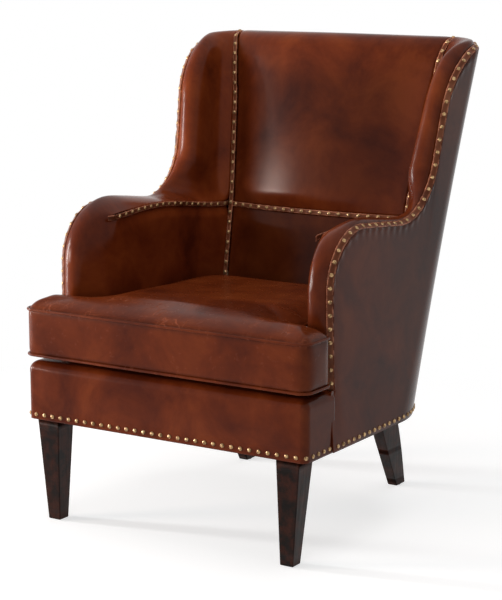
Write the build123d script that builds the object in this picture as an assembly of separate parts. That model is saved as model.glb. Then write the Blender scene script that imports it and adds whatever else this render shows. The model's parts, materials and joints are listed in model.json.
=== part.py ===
"""Leather club chair with a raked barrel back, canted wings and a loose T-shaped seat cushion.

Millimetres, +Z up. The chair faces -Y, and left and right are as seen from in front of it.
Pieces are worked out with their depth measured from the apron's front face, and are moved
at the end so that the origin lies on the floor under the middle of the chair.
"""
from build123d import *
from math import atan2, ceil, cos, hypot, pi, radians, sin, sqrt, tan
import os

# Overall form: heights from the floor, depths from the apron's front face
CREST_HEIGHT = 1043.0
CREST_DEPTH = 790.0
BACK_RAKE = 12.1
BACK_THICKNESS = 98.0
WING_DEPTH = 171.0
SKIRT_HALF_WIDTH = 357.0
WAIST_HALF_WIDTH = 343.0
CREST_HALF_WIDTH = 370.0
WAIST_HEIGHT = 640.0
SKIRT_CORNER = 220.0
WAIST_CORNER = 112.0
CREST_CORNER = 80.0

# Outer edge, seen from the side: arm front, arm top, sweep up to the wing, top corner
ARM_SETBACK = 111.0
ARM_HEIGHT = 690.0
SWEEP_HEIGHT = 651.0
WING_DROP = 38.0
EDGE_END_DROP = 14.0
EDGE_END_INSET = 12.0
ARM_FRONT_RADIUS = 125.0
SWEEP_RADIUS = 150.0
WING_TOP_RADIUS = 165.0

# Arm front and inside arm, seen from above
SEAT_HALF_WIDTH = 256.0
NOSE_DEPTH = 9.0
NOSE_WIDTH = 36.0
NOSE_SHOULDER = 14.0
NOSE_RUN = 71.0
NOSE_OUTER_RADIUS = 14.0
NOSE_INNER_RADIUS = 22.0
NOSE_RUN_RADIUS = 60.0
BACK_CORNER_RUN = 62.0
BACK_CORNER_RADIUS = 45.0

# Padded rolls
NAIL_INSET = 10.0
EDGE_COVER_INSET = 8.0
ARM_CROWN = 15.0
WING_CROWN = 38.0
CREST_CROWN = 5.0
CROWN_PLACE = 0.86
CROWN_RADIUS = 18.0
HOLLOW_PLACE = 0.42
ARM_HOLLOW = 0.46
WING_HOLLOW = 0.14
HOLLOW_RADIUS = 60.0
ROLL_TURN = 0.38
ROLL_TURN_RUN = 0.22
CREST_TAPER_RUN = 0.22
ROLL_BASE = 8.0
CREST_FRONT_RADIUS = 45.0
CREST_REAR_RADIUS = 13.0
CREST_REAR_INSET = 3.0
CREST_PAD_STEP = 9.0

# Inside seams
SEAM_HEIGHT = 648.0
SEAM_HALF_WIDTH = 216.0
SEAM_FLARE = 0.062
SEAM_GAP = 10.0
SEAM_DIP = 9.0
CROSSING_DIP = 0.25
ARM_SEAM_DIP = 5.0
SEAM_ROLL = 28.0
SEAM_ROLL_RADIUS = 60.0
INNER_LINE_RADIUS = 25.0
PUFF_SHARE = 0.72
ARM_LEVELS = 3

# Leather, trim and nails
LEATHER = 2.0
SOFT_GAP = 0.4
TRIM_WIDTH = 12.0
INSIDE_TRIM_WIDTH = 7.5
TRIM_THICKNESS = 1.5
TRIM_GAP = 0.3
NAIL_HEAD = 9.5
NAIL_DOME = 3.0
NAIL_SHANK = 1.8
NAIL_LENGTH = 1.6
EDGE_NAIL_PITCH = 28.0
INSIDE_NAIL_PITCH = 24.0
SKIRT_NAIL_PITCH = 22.1
SKIRT_NAIL_RISE = 10.0

# Seat frame, apron and deck
LEG_HEIGHT = 228.0
APRON_HEIGHT = 127.0
APRON_SIDE_STEP = 5.0
APRON_DEPTH = 104.0
APRON_ROUND = 20.0
APRON_CORNER = 14.0
APRON_PAD = 6.0
RAIL_HEIGHT = 90.0
RAIL_THICKNESS = 25.0
SIDE_FRAME_GAP = 13.0
SIDE_BOARD = 28.0
SIDE_RAIL_REAR_INSET = 145.0
REAR_RAIL_INSET = 59.0
REAR_RAIL_THICKNESS = 32.0
REAR_RAIL_HALF_WIDTH = 232.0
FRONT_BLOCK = 70.0
REAR_BLOCK_SIDE = 75.0
REAR_BLOCK_REAR = 62.0
DECK_SIDE_GAP = 2.0
DECK_PAD = 25.0
DUST_COVER = 1.2
DUST_COVER_INSET = 14.0
DUST_COVER_LEG_GAP = 1.5

# Arm, wing and back frame
POST_INSET = 30.0
POST_DEPTH = 38.0
WING_POST_INSET = 44.0
WING_POST_DEPTH = 44.0
WING_STUMP = 40.0
BACK_PAD = 33.0
WEBBING = 2.0
WEBBING_WIDTH = 50.0
LOWEST_STRAP_HEIGHT = 430.0
UPPER_STRAPS = 4
STRAP_RAIL_GAP = 55.0
TOP_STRAP_DROP = 45.0
BACK_POST_CENTRE = 209.0
BACK_POST_WIDTH = 34.0
BACK_POST_DEPTH = 32.0
CREST_RAIL_DROP = 98.0
CREST_RAIL_HEIGHT = 40.0
LOWER_BACK_RAIL_LOW = 500.0
LOWER_BACK_RAIL_HEIGHT = 45.0

# Seat springs
SPRING_COUNT = 6
SPRING_SPACING = 70.0
SPRING_WIRE = 3.8
SPRING_LOOP_WIDTH = 46.0
SPRING_LOOP_ROUND = 0.98
SPRING_END = 14.0
CLIP_WIDTH = 12.0
CLIP_DEPTH = 20.0
CLIP_THICKNESS = 1.5

# Legs: the rear legs' spans in depth are from the rear face at the skirt
FRONT_LEG_TOP = 56.0
FRONT_LEG_FOOT = 31.0
FRONT_LEG_SIDE_INSET = 20.0
FRONT_LEG_TOP_Y = 36.0
FRONT_LEG_FOOT_STEP_IN = 6.5
FRONT_LEG_FOOT_Y = 31.0
REAR_LEG_X = 206.0
REAR_LEG_TOP_WIDTH = 32.0
REAR_LEG_FOOT_WIDTH = 24.0
REAR_LEG_TOP = (-70.0, -5.0)
REAR_LEG_KNEE = (-49.0, 26.0)
REAR_LEG_SHIN = (-17.0, 47.0)
REAR_LEG_FOOT = (28.0, 67.0)
REAR_LEG_KNEE_SHARE = 0.66
REAR_LEG_SHIN_SHARE = 0.37
GLIDE_HEIGHT = 4.0
GLIDE_DIAMETER = 20.0
BOLT_DIAMETER = 8.0
BOLT_LENGTH = 90.0
BOLT_DEPTH_IN_LEG = 45.0
BOLT_CLEARANCE = 0.4
FRONT_BOLT_INSET = 16.0

# Loose cushion
CUSHION_SIDE_OVERHANG = 6.0
CUSHION_OVERHANG = 7.0
CUSHION_EAR_REAR = 96.0
CUSHION_NECK_GAP = 6.0
CUSHION_BACK_GAP = 6.0
CUSHION_REST_GAP = 0.3
CUSHION_UNDERSIDE = 15.0
CUSHION_BOXING = 99.0
CUSHION_CROWN = 24.0
CUSHION_FRONT_RADIUS = 25.0
CUSHION_EAR_RADIUS = 14.0
CUSHION_NOTCH_RADIUS = 8.0
CUSHION_REAR_RADIUS = 90.0
CUSHION_DRAW_IN = 4.0
CUSHION_CROWN_INSET = 36.0
CROWN_SHOULDER_RISE = 0.55
SHOULDER_INSET = 0.3
EAR_ROUND_LIMIT = 0.45
WELT_DIAMETER = 6.0
WELT_INSET = 1.0

# Zip in the cushion's rear boxing
ZIP_HALF_LENGTH = 140.0
ZIP_SLOT = 12.0
ZIP_TAPE_WIDTH = 20.0
ZIP_TAPE_THICKNESS = 1.2
ZIP_TEETH_WIDTH = 3.0
ZIP_TEETH_HEIGHT = 1.5
ZIP_GAP = 0.3
SLIDER_LENGTH = 11.0
SLIDER_WIDTH = 8.0
SLIDER_HEIGHT = 4.2
SLIDER_START_INSET = 9.0

# Worked-out levels
APRON_TOP = LEG_HEIGHT + APRON_HEIGHT
RAIL_TOP = LEG_HEIGHT + RAIL_HEIGHT
WING_HEIGHT = CREST_HEIGHT - WING_DROP
EDGE_END_HEIGHT = CREST_HEIGHT - EDGE_END_DROP
CREST_RAIL_LOW = CREST_HEIGHT - CREST_RAIL_DROP
APRON_HALF_WIDTH = SKIRT_HALF_WIDTH - APRON_SIDE_STEP
HALF_WIDTHS = (SKIRT_HALF_WIDTH, WAIST_HALF_WIDTH, CREST_HALF_WIDTH)
WIDEST = max(HALF_WIDTHS) + LEATHER
SIDE_FRAME_OUTER = min(HALF_WIDTHS) - SIDE_FRAME_GAP
SIDE_FRAME_INNER = SIDE_FRAME_OUTER - SIDE_BOARD
FRONT_LEG_TOP_X = APRON_HALF_WIDTH - FRONT_LEG_SIDE_INSET - FRONT_LEG_TOP / 2
FRONT_LEG_FOOT_X = FRONT_LEG_TOP_X - FRONT_LEG_FOOT_STEP_IN
CUSHION_HALF_WIDTH = APRON_HALF_WIDTH + CUSHION_SIDE_OVERHANG
CUSHION_NECK_HALF_WIDTH = SEAT_HALF_WIDTH - CUSHION_NECK_GAP
CUSHION_BASE = APRON_TOP + CUSHION_REST_GAP
BOTTOM_WELT_HEIGHT = CUSHION_BASE + CUSHION_UNDERSIDE
TOP_WELT_HEIGHT = BOTTOM_WELT_HEIGHT + CUSHION_BOXING
ZIP_HEIGHT = (BOTTOM_WELT_HEIGHT + TOP_WELT_HEIGHT) / 2
WELT_RADIUS = WELT_DIAMETER / 2
FOAM_INSET = LEATHER + SOFT_GAP
TAN_RAKE = tan(radians(BACK_RAKE))
FRONT_MOST = -CUSHION_OVERHANG - WELT_RADIUS + WELT_INSET
REAR_MOST = CREST_DEPTH - CREST_REAR_INSET
CENTRE_DEPTH = (FRONT_MOST + REAR_MOST) / 2


def rear_face(height):
    """Depth of the outside back's rear face."""
    return CREST_DEPTH - TAN_RAKE * (CREST_HEIGHT - height)


SKIRT_REAR = rear_face(LEG_HEIGHT)
SIDE_RAIL_END = SKIRT_REAR - SIDE_RAIL_REAR_INSET
REAR_RAIL_FRONT = SKIRT_REAR - REAR_RAIL_INSET


def inside_back(height):
    """Depth of the inside back's leather."""
    return rear_face(height) - BACK_THICKNESS


def wing_edge(height):
    """Depth of the straight stretch of the wing's edge."""
    return rear_face(height) - WING_DEPTH


def through_levels(height, skirt, waist, crest):
    """Quadratic through a size's values at the skirt, waist and crest."""
    low, middle, high = LEG_HEIGHT, WAIST_HEIGHT, CREST_HEIGHT
    at_low = (height - middle) * (height - high) / ((low - middle) * (low - high))
    at_middle = (height - low) * (height - high) / ((middle - low) * (middle - high))
    at_high = (height - low) * (height - middle) / ((high - low) * (high - middle))
    return skirt * at_low + waist * at_middle + crest * at_high


def half_width(height):
    """Half width of the outside covers."""
    return through_levels(height, SKIRT_HALF_WIDTH, WAIST_HALF_WIDTH, CREST_HALF_WIDTH)


def corner_radius(height):
    """Plan radius of the outside covers' rear corners."""
    return through_levels(height, SKIRT_CORNER, WAIST_CORNER, CREST_CORNER)


def rim(depth, height):
    """Point on the outside covers' surface, and the surface's outward direction in plan."""
    radius = corner_radius(height)
    centre_x = half_width(height) - radius
    past_corner = min(max(0.0, depth - rear_face(height) + radius), radius)
    outside = Vector(sqrt(radius ** 2 - past_corner ** 2), past_corner, 0) / radius
    return Vector(centre_x, depth - past_corner, height) + outside * radius, outside


def seam_x(height):
    """Half distance between the two upright inside seams."""
    return SEAM_HALF_WIDTH + SEAM_FLARE * (height - SEAM_HEIGHT)


def filleted(points, radii, offset_by=0.0):
    """Filleted polyline parallel to the points, moved to the left of its travel."""
    normals = []
    for (x0, y0), (x1, y1) in zip(points, points[1:]):
        length = hypot(x1 - x0, y1 - y0)
        normals.append(((y0 - y1) / length, (x1 - x0) / length))
    moved = [(points[0][0] + normals[0][0] * offset_by, points[0][1] + normals[0][1] * offset_by)]
    moved_radii = []
    for (px, py), (ax, ay), (bx, by), radius in zip(points[1:], normals, normals[1:], radii):
        share = offset_by / (1 + ax * bx + ay * by)
        moved.append((px + (ax + bx) * share, py + (ay + by) * share))
        turns_left = ax * by - ay * bx > 0
        moved_radii.append(radius - offset_by if turns_left else radius + offset_by)
    end_x, end_y = points[-1]
    moved.append((end_x + normals[-1][0] * offset_by, end_y + normals[-1][1] * offset_by))
    return FilletPolyline(*moved, radius=moved_radii)


def closed_face(path, *more):
    """Face inside a path that is closed by straight lines through more points."""
    corners = [path @ 1, *[Vector(*point) for point in more], path @ 0]
    lines = [Line(a, b) for a, b in zip(corners, corners[1:])]
    return make_face(path.edges() + ShapeList(lines))


def band(points, radii, near, far):
    """Face between two parallels of a filleted polyline."""
    one = filleted(points, radii, near)
    two = filleted(points, radii, far)
    ends = ShapeList([Line(one @ 1, two @ 1), Line(two @ 0, one @ 0)])
    return make_face(one.edges() + two.edges() + ends)


def block(x0, x1, y0, y1, z0, z1):
    """Box between two opposite corners."""
    middle = Pos((x0 + x1) / 2, (y0 + y1) / 2, (z0 + z1) / 2)
    return middle * Box(x1 - x0, y1 - y0, z1 - z0)


def mirrored(shape):
    """The same piece on the other side of the chair."""
    return mirror(shape, about=Plane.YZ)


def group(shapes):
    """Several separate solids in one node."""
    solids = [solid for shape in shapes for solid in shape.solids()]
    return Compound(solids)


# Outer edge line
EDGE_POINTS = [
    (ARM_SETBACK, APRON_TOP),
    (ARM_SETBACK, ARM_HEIGHT),
    (wing_edge(SWEEP_HEIGHT), SWEEP_HEIGHT),
    (wing_edge(WING_HEIGHT), WING_HEIGHT),
    (rear_face(EDGE_END_HEIGHT) - EDGE_END_INSET, EDGE_END_HEIGHT),
]
EDGE_RADII = [ARM_FRONT_RADIUS, SWEEP_RADIUS, WING_TOP_RADIUS]
ARM_SLOPE = atan2(EDGE_POINTS[2][1] - ARM_HEIGHT, EDGE_POINTS[2][0] - ARM_SETBACK)
FRONT_ARC_START = ARM_HEIGHT - ARM_FRONT_RADIUS * tan((pi / 2 - ARM_SLOPE) / 2)


def arm_front(height):
    """Depth of the outer edge line on the arm's front."""
    rise = min(max(0.0, height - FRONT_ARC_START), ARM_FRONT_RADIUS)
    return ARM_SETBACK + ARM_FRONT_RADIUS - sqrt(ARM_FRONT_RADIUS ** 2 - rise ** 2)


def edge_from(height):
    """Outer edge line, in (depth, height), from a height on the arm's front to its rear end."""
    whole = filleted(EDGE_POINTS, EDGE_RADII)
    low, high = 0.0, 0.5
    while high - low > 1e-5:
        middle = (low + high) / 2
        if (whole @ middle).Y < height and (whole @ middle).X < ARM_SETBACK + ARM_FRONT_RADIUS:
            low = middle
        else:
            high = middle
    return whole, low


def edge_frame(path, share):
    """Point midway across the outer trim, the trim's outward normal and its direction of travel."""
    place = path @ share
    travel = path % share
    outward = Vector(0, -travel.Y, travel.X)
    corner, outside = rim(place.X, place.Y)
    roll_end = corner - outside * NAIL_INSET
    cover_end = corner - outward * EDGE_COVER_INSET
    step = travel * (TRIM_WIDTH / 2)
    ahead, _ = rim(place.X + step.X, place.Y + step.Y)
    behind, _ = rim(place.X - step.X, place.Y - step.Y)
    along = (ahead - behind).normalized()
    normal = (cover_end - roll_end).cross(along).normalized()
    return (roll_end + cover_end) / 2, normal, along


# Back plane: x across, y up the inside back, z out of it towards the sitter
BACK_PLANE = Plane(
    origin=(0, inside_back(0), 0),
    x_dir=(1, 0, 0),
    z_dir=(0, -cos(radians(BACK_RAKE)), sin(radians(BACK_RAKE))),
)


def up_back(height):
    """Distance up the back plane at which it reaches a height."""
    return height / cos(radians(BACK_RAKE))


def on_back(x0, x1, low, high, near, far):
    """Board lying along the back, between two heights, from near to far behind its leather."""
    y0 = up_back(low)
    y1 = up_back(high)
    middle = Pos((x0 + x1) / 2, (y0 + y1) / 2, -(near + far) / 2)
    return BACK_PLANE * middle * Box(x1 - x0, y1 - y0, far - near)


# Wooden frame
def seat_rails():
    """Front, rear and side rails of the seat frame."""
    front_low = LEATHER + APRON_PAD
    front = block(-SIDE_FRAME_OUTER, SIDE_FRAME_OUTER, front_low, front_low + RAIL_THICKNESS,
                  LEG_HEIGHT, RAIL_TOP)
    side = block(SIDE_FRAME_INNER, SIDE_FRAME_OUTER, front_low + RAIL_THICKNESS, SIDE_RAIL_END,
                 LEG_HEIGHT, RAIL_TOP)
    rear = block(-REAR_RAIL_HALF_WIDTH, REAR_RAIL_HALF_WIDTH, REAR_RAIL_FRONT,
                 REAR_RAIL_FRONT + REAR_RAIL_THICKNESS, LEG_HEIGHT, RAIL_TOP)
    rear_holes = [leg_bolt_hole(sign * REAR_LEG_X, rear_bolt_depth()) for sign in (-1, 1)]
    return {
        "front_seat_rail": front,
        "rear_seat_rail": rear - rear_holes,
        "left_seat_rail": mirrored(side),
        "right_seat_rail": side,
    }


def front_bolt_place():
    """Place of the right front leg's bolt, in plan."""
    rail_face = LEATHER + APRON_PAD + RAIL_THICKNESS
    return SIDE_FRAME_INNER - FRONT_BOLT_INSET, rail_face + FRONT_BOLT_INSET


def rear_bolt_depth():
    """Depth of the rear legs' bolts, in the middle of the rear rail."""
    return REAR_RAIL_FRONT + REAR_RAIL_THICKNESS / 2


def leg_bolt_hole(x, y):
    """Clearance hole for a leg bolt."""
    radius = (BOLT_DIAMETER + BOLT_CLEARANCE) / 2
    low = LEG_HEIGHT - BOLT_DEPTH_IN_LEG - BOLT_CLEARANCE
    length = BOLT_LENGTH + 2 * BOLT_CLEARANCE
    return Pos(x, y, low) * Cylinder(radius, length, align=(Align.CENTER, Align.CENTER, Align.MIN))


def corner_blocks():
    """Glued blocks that tie the seat rails together and hold the front leg bolts."""
    rail_face = LEATHER + APRON_PAD + RAIL_THICKNESS
    front = Polyline(
        (SIDE_FRAME_INNER, rail_face),
        (SIDE_FRAME_INNER - FRONT_BLOCK, rail_face),
        (SIDE_FRAME_INNER, rail_face + FRONT_BLOCK),
        close=True,
    )
    rear = Polyline(
        (SIDE_FRAME_INNER, SIDE_RAIL_END - REAR_BLOCK_SIDE),
        (SIDE_FRAME_INNER, SIDE_RAIL_END),
        (REAR_RAIL_HALF_WIDTH, REAR_RAIL_FRONT),
        (REAR_RAIL_HALF_WIDTH - REAR_BLOCK_REAR, REAR_RAIL_FRONT),
        close=True,
    )
    blocks = [Pos(0, 0, LEG_HEIGHT) * extrude(make_face(line), RAIL_HEIGHT) for line in (front, rear)]
    blocks[0] -= leg_bolt_hole(*front_bolt_place())
    return group(blocks + [mirrored(shape) for shape in blocks])


def side_board(face):
    """Board of the right side frame, from its outline in (depth, height)."""
    outline = Plane((SIDE_FRAME_INNER, 0, 0), x_dir=(0, 1, 0), z_dir=(1, 0, 0)) * face
    return extrude(outline, SIDE_FRAME_OUTER - SIDE_FRAME_INNER)


def rectangle(y0, y1, z0, z1):
    """Rectangle in (depth, height)."""
    return Pos((y0 + y1) / 2, (z0 + z1) / 2) * Rectangle(y1 - y0, z1 - z0)


def arm_frame():
    """Arm post, arm rail and wing post of the right side."""
    post_front = ARM_SETBACK + POST_INSET
    split = SIDE_RAIL_END - WING_STUMP
    post = rectangle(post_front, post_front + POST_DEPTH, RAIL_TOP, FRONT_ARC_START)
    rail = band(EDGE_POINTS, EDGE_RADII, -POST_INSET, -POST_INSET - POST_DEPTH)
    rail &= rectangle(0, split, FRONT_ARC_START, CREST_HEIGHT)
    wing = band(EDGE_POINTS, EDGE_RADII, -WING_POST_INSET, -WING_POST_INSET - WING_POST_DEPTH)
    crest_rear = inside_back(CREST_RAIL_LOW) + BACK_PAD + WEBBING + BACK_POST_DEPTH
    wing &= rectangle(split, crest_rear, RAIL_TOP, CREST_HEIGHT)
    stump_top = SWEEP_HEIGHT - WING_POST_INSET - WING_POST_DEPTH / 2
    wing += rectangle(split, SIDE_RAIL_END, RAIL_TOP, stump_top)
    return side_board(post), side_board(rail), side_board(wing)


def back_frame():
    """Posts, crest rail, lower rail and webbing straps of the back."""
    near = BACK_PAD + WEBBING
    far = near + BACK_POST_DEPTH
    half = BACK_POST_WIDTH / 2
    post = on_back(BACK_POST_CENTRE - half, BACK_POST_CENTRE + half, RAIL_TOP - BACK_POST_DEPTH,
                   CREST_RAIL_LOW, near, far)
    post -= block(0, WIDEST, 0, CREST_DEPTH, LEG_HEIGHT, RAIL_TOP)
    crest = on_back(-SIDE_FRAME_INNER, SIDE_FRAME_INNER, CREST_RAIL_LOW,
                    CREST_RAIL_LOW + CREST_RAIL_HEIGHT, near, far)
    inner = BACK_POST_CENTRE - half
    lower = on_back(-inner, inner, LOWER_BACK_RAIL_LOW,
                    LOWER_BACK_RAIL_LOW + LOWER_BACK_RAIL_HEIGHT, near, far)
    reach = BACK_POST_CENTRE + half
    first = LOWER_BACK_RAIL_LOW + LOWER_BACK_RAIL_HEIGHT + STRAP_RAIL_GAP
    spacing = (CREST_RAIL_LOW - TOP_STRAP_DROP - first) / (UPPER_STRAPS - 1)
    strap_heights = [LOWEST_STRAP_HEIGHT] + [first + spacing * index for index in range(UPPER_STRAPS)]
    straps = [on_back(-reach, reach, low, low + WEBBING_WIDTH, BACK_PAD, near)
              for low in strap_heights]
    return {
        "left_back_post": mirrored(post),
        "right_back_post": post,
        "crest_rail": crest,
        "lower_back_rail": lower,
        "back_webbing": group(straps),
    }


# Seat suspension
def seat_springs():
    """Zigzag springs from the front rail to the rear rail, and the clips that hold their ends."""
    start = LEATHER + APRON_PAD + RAIL_THICKNESS / 2
    end = REAR_RAIL_FRONT + REAR_RAIL_THICKNESS / 2
    height = RAIL_TOP + SPRING_WIRE / 2
    runs = 2 * int((end - start - 2 * SPRING_END) / (SPRING_LOOP_WIDTH / 2) / 2)
    pitch = (end - start - 2 * SPRING_END) / runs
    radius = pitch / 2
    reach = SPRING_LOOP_WIDTH / 2 - radius
    springs = []
    clips = []
    for index in range(SPRING_COUNT):
        x = (index - (SPRING_COUNT - 1) / 2) * SPRING_SPACING
        points = [(x, start), (x, start + SPRING_END)]
        for run in range(runs):
            side = reach if run % 2 == 0 else -reach
            y = start + SPRING_END + run * pitch
            points += [(x + side + radius * side / reach, y), (x + side + radius * side / reach, y + pitch)]
        points += [(x, end - SPRING_END), (x, end)]
        corner = SPRING_LOOP_ROUND * radius
        path = Pos(0, 0, height) * FilletPolyline(*points, radius=[corner] * (len(points) - 2))
        springs.append(sweep(Plane(path @ 0, z_dir=path % 0) * Circle(SPRING_WIRE / 2), path))
        clips += [spring_clip(x, start), spring_clip(x, end)]
    return group(springs), group(clips)


def spring_clip(x, y):
    """Bent steel clip over a spring's end, standing on its rail."""
    half_wire = SPRING_WIRE / 2 + BOLT_CLEARANCE
    top = RAIL_TOP + SPRING_WIRE + BOLT_CLEARANCE
    outer = block(x - CLIP_WIDTH / 2, x + CLIP_WIDTH / 2, y - CLIP_DEPTH / 2, y + CLIP_DEPTH / 2,
                  RAIL_TOP, top + CLIP_THICKNESS)
    return outer - block(x - half_wire, x + half_wire, y - CLIP_DEPTH, y + CLIP_DEPTH, RAIL_TOP, top)


# Apron and deck
def apron_block(inset, low, rear):
    """Apron box with rounded front corners and top edge."""
    half = APRON_HALF_WIDTH - inset
    corner = APRON_CORNER - inset
    around = FilletPolyline((half, rear), (half, inset), (-half, inset), (-half, rear),
                            radius=[corner, corner])
    body = Pos(0, 0, low) * extrude(closed_face(around), APRON_TOP - inset - low)
    top = body.faces().sort_by(Axis.Z)[-1]
    rounded = [edge for edge in top.edges() if edge.center().Y < rear - 1]
    return fillet(rounded, APRON_ROUND - inset)


def apron():
    """Apron leather and the padding between it and the seat rails."""
    past = APRON_DEPTH + LEATHER
    cover = apron_block(0, LEG_HEIGHT, APRON_DEPTH)
    cover -= apron_block(LEATHER, LEG_HEIGHT - LEATHER, past)
    pad = apron_block(FOAM_INSET, LEG_HEIGHT, APRON_DEPTH)
    reach = SIDE_FRAME_OUTER
    pad -= block(-reach, reach, LEATHER + APRON_PAD, past, 0, RAIL_TOP + SPRING_WIRE + DECK_SIDE_GAP)
    return cover, pad


def deck():
    """Seat deck padding and its cover, under the loose cushion."""
    half = SEAT_HALF_WIDTH - DECK_SIDE_GAP
    front = APRON_DEPTH + DECK_SIDE_GAP
    rear = inside_back(APRON_TOP - LEATHER - DECK_PAD) - DECK_SIDE_GAP
    cover = block(-half, half, front, rear, APRON_TOP - LEATHER, APRON_TOP)
    pad = block(-half, half, front, rear, APRON_TOP - LEATHER - DECK_PAD, APRON_TOP - LEATHER)
    return cover, pad


def dust_cover():
    """Thin cloth tacked under the seat rails, cut out round the legs."""
    front = LEATHER + APRON_PAD
    face = plan_face(LEG_HEIGHT, DUST_COVER_INSET, front)
    sheet = extrude(face, -DUST_COVER)
    gap = DUST_COVER_LEG_GAP
    half = FRONT_LEG_TOP / 2 + gap
    front_leg = block(FRONT_LEG_TOP_X - half, FRONT_LEG_TOP_X + half, FRONT_LEG_TOP_Y - half,
                      FRONT_LEG_TOP_Y + half, 0, LEG_HEIGHT)
    half = REAR_LEG_TOP_WIDTH / 2 + gap
    rear_leg = block(REAR_LEG_X - half, REAR_LEG_X + half, SKIRT_REAR + REAR_LEG_TOP[0] - gap,
                     SKIRT_REAR + REAR_LEG_TOP[1] + gap, 0, LEG_HEIGHT)
    return sheet - [front_leg, rear_leg, mirrored(front_leg), mirrored(rear_leg)]


# Outside covers
def plan_face(height, inset, front):
    """Plan of the outside covers at a height, closed across the front."""
    half = half_width(height) - inset
    rear = rear_face(height) - inset
    radius = corner_radius(height) - inset
    around = FilletPolyline((half, front), (half, rear), (-half, rear), (-half, front),
                            radius=[radius, radius])
    return Pos(0, 0, height) * closed_face(around)


def outside_covers():
    """Right outside arm and wing cover, and the outside back cover."""
    levels = 5
    low = LEG_HEIGHT
    high = CREST_HEIGHT
    margin = 2 * LEATHER
    step = (high - low) / (levels - 1)
    heights = [low + step * index for index in range(levels)]
    beyond = [low - margin] + heights[1:-1] + [high + margin]
    outer = loft([plan_face(height, 0, APRON_DEPTH) for height in heights])
    inner = loft([plan_face(height, LEATHER, APRON_DEPTH - margin) for height in beyond])
    shell = outer - inner
    edge = filleted(EDGE_POINTS, EDGE_RADII, -EDGE_COVER_INSET)
    past = CREST_DEPTH + margin
    seam = APRON_DEPTH + TRIM_GAP
    outline = closed_face(edge, (past, EDGE_END_HEIGHT - EDGE_COVER_INSET), (past, LEG_HEIGHT),
                          (seam, LEG_HEIGHT), (seam, APRON_TOP))
    reach = WIDEST + margin
    sideways = Plane((-reach, 0, 0), x_dir=(0, 1, 0), z_dir=(1, 0, 0))
    shell &= extrude(sideways * outline, 2 * reach)
    seam_half = BACK_POST_CENTRE
    right = shell & block(seam_half, reach, 0, past, 0, high)
    back = shell & block(-seam_half, seam_half, 0, past, 0, high)
    return right, back


# Inside arm, wing and back upholstery
def inside_arm_points(height):
    """Right inside arm in plan: round the arm's front, along the arm and into the back corner."""
    edge = arm_front(height)
    outer = half_width(height)
    back = inside_back(height)
    return [
        (outer - NAIL_INSET, edge),
        (outer - NOSE_SHOULDER, edge - NOSE_DEPTH),
        (outer - NOSE_SHOULDER - NOSE_WIDTH, edge - NOSE_DEPTH),
        (SEAT_HALF_WIDTH, edge - NOSE_DEPTH + NOSE_RUN),
        (SEAT_HALF_WIDTH, back - BACK_CORNER_RUN),
        (seam_x(height) + SEAM_GAP / 2, back + SEAM_DIP),
    ]


INSIDE_ARM_RADII = [NOSE_OUTER_RADIUS, NOSE_INNER_RADIUS, NOSE_RUN_RADIUS, BACK_CORNER_RADIUS]


def inside_arm():
    """Leather and padding of the right inside arm, below the level seam."""
    low = APRON_TOP + SOFT_GAP
    top = SEAM_HEIGHT - SEAM_GAP / 2
    roll = top - SEAM_ROLL
    middle = (FRONT_ARC_START + roll) / 2
    step = (FRONT_ARC_START - low) / ARM_LEVELS
    straight = [low + step * index for index in range(ARM_LEVELS)]
    levels = [(height, 0) for height in (*straight, FRONT_ARC_START, middle, roll)]
    levels.append((top, ARM_SEAM_DIP))
    cover = []
    pad = []
    for height, dip in levels:
        points = inside_arm_points(height)
        cover.append(Pos(0, 0, height) * band(points, INSIDE_ARM_RADII, -dip, -dip - LEATHER))
        front = filleted(points, INSIDE_ARM_RADII, -dip - FOAM_INSET)
        post = arm_front(height) + POST_INSET - ROLL_BASE
        corner = inside_back(height) + BACK_PAD
        outline = closed_face(
            front,
            (seam_x(height) + BACK_POST_WIDTH, corner),
            (SIDE_FRAME_INNER, corner - BACK_CORNER_RUN),
            (SIDE_FRAME_INNER, post),
            ((front @ 0).X, post),
        )
        pad.append(Pos(0, 0, height) * outline)
    return loft(cover, ruled=True), loft(pad, ruled=True)


def inner_line():
    """Inner edge of the right wing cover: along the arm, up the back seam and over the crest."""
    low = SEAM_HEIGHT + SEAM_GAP / 2
    arm_x = SEAT_HALF_WIDTH + ARM_SEAM_DIP
    half_gap = SEAM_GAP / 2
    crest = CREST_HEIGHT - ARM_SEAM_DIP
    crest_x = seam_x(crest) + half_gap
    crest_rear = REAR_MOST - LEATHER
    return FilletPolyline(
        (arm_x, arm_front(low) + NOSE_RUN / 2, low),
        (arm_x, inside_back(low) - BACK_CORNER_RUN, low),
        (seam_x(low) + half_gap, inside_back(low) + SEAM_DIP, low),
        (crest_x, inside_back(crest) + SEAM_DIP, crest),
        (crest_x, crest_rear, crest),
        radius=[BACK_CORNER_RADIUS, INNER_LINE_RADIUS, CREST_FRONT_RADIUS],
    )


def smooth_step(value):
    """Smooth rise from 0 to 1 as a value goes from 0 to 1."""
    value = min(max(0.0, value), 1.0)
    return value * value * (3 - 2 * value)


def roll_points(share, length):
    """Profile of the padded roll over its chord: domed on the arm, hollow on the wing, low at the crest."""
    wing_like = smooth_step((share - ROLL_TURN) / ROLL_TURN_RUN)
    crest_like = 1 - smooth_step((1 - share) / CREST_TAPER_RUN)
    crown = ARM_CROWN + (WING_CROWN - ARM_CROWN) * wing_like
    crown += (CREST_CROWN - crown) * crest_like
    hollow = ARM_HOLLOW + (WING_HOLLOW - ARM_HOLLOW) * wing_like * (1 - crest_like)
    return [(0, 0), (HOLLOW_PLACE * length, hollow * crown), (CROWN_PLACE * length, crown), (length, 0)]


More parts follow.
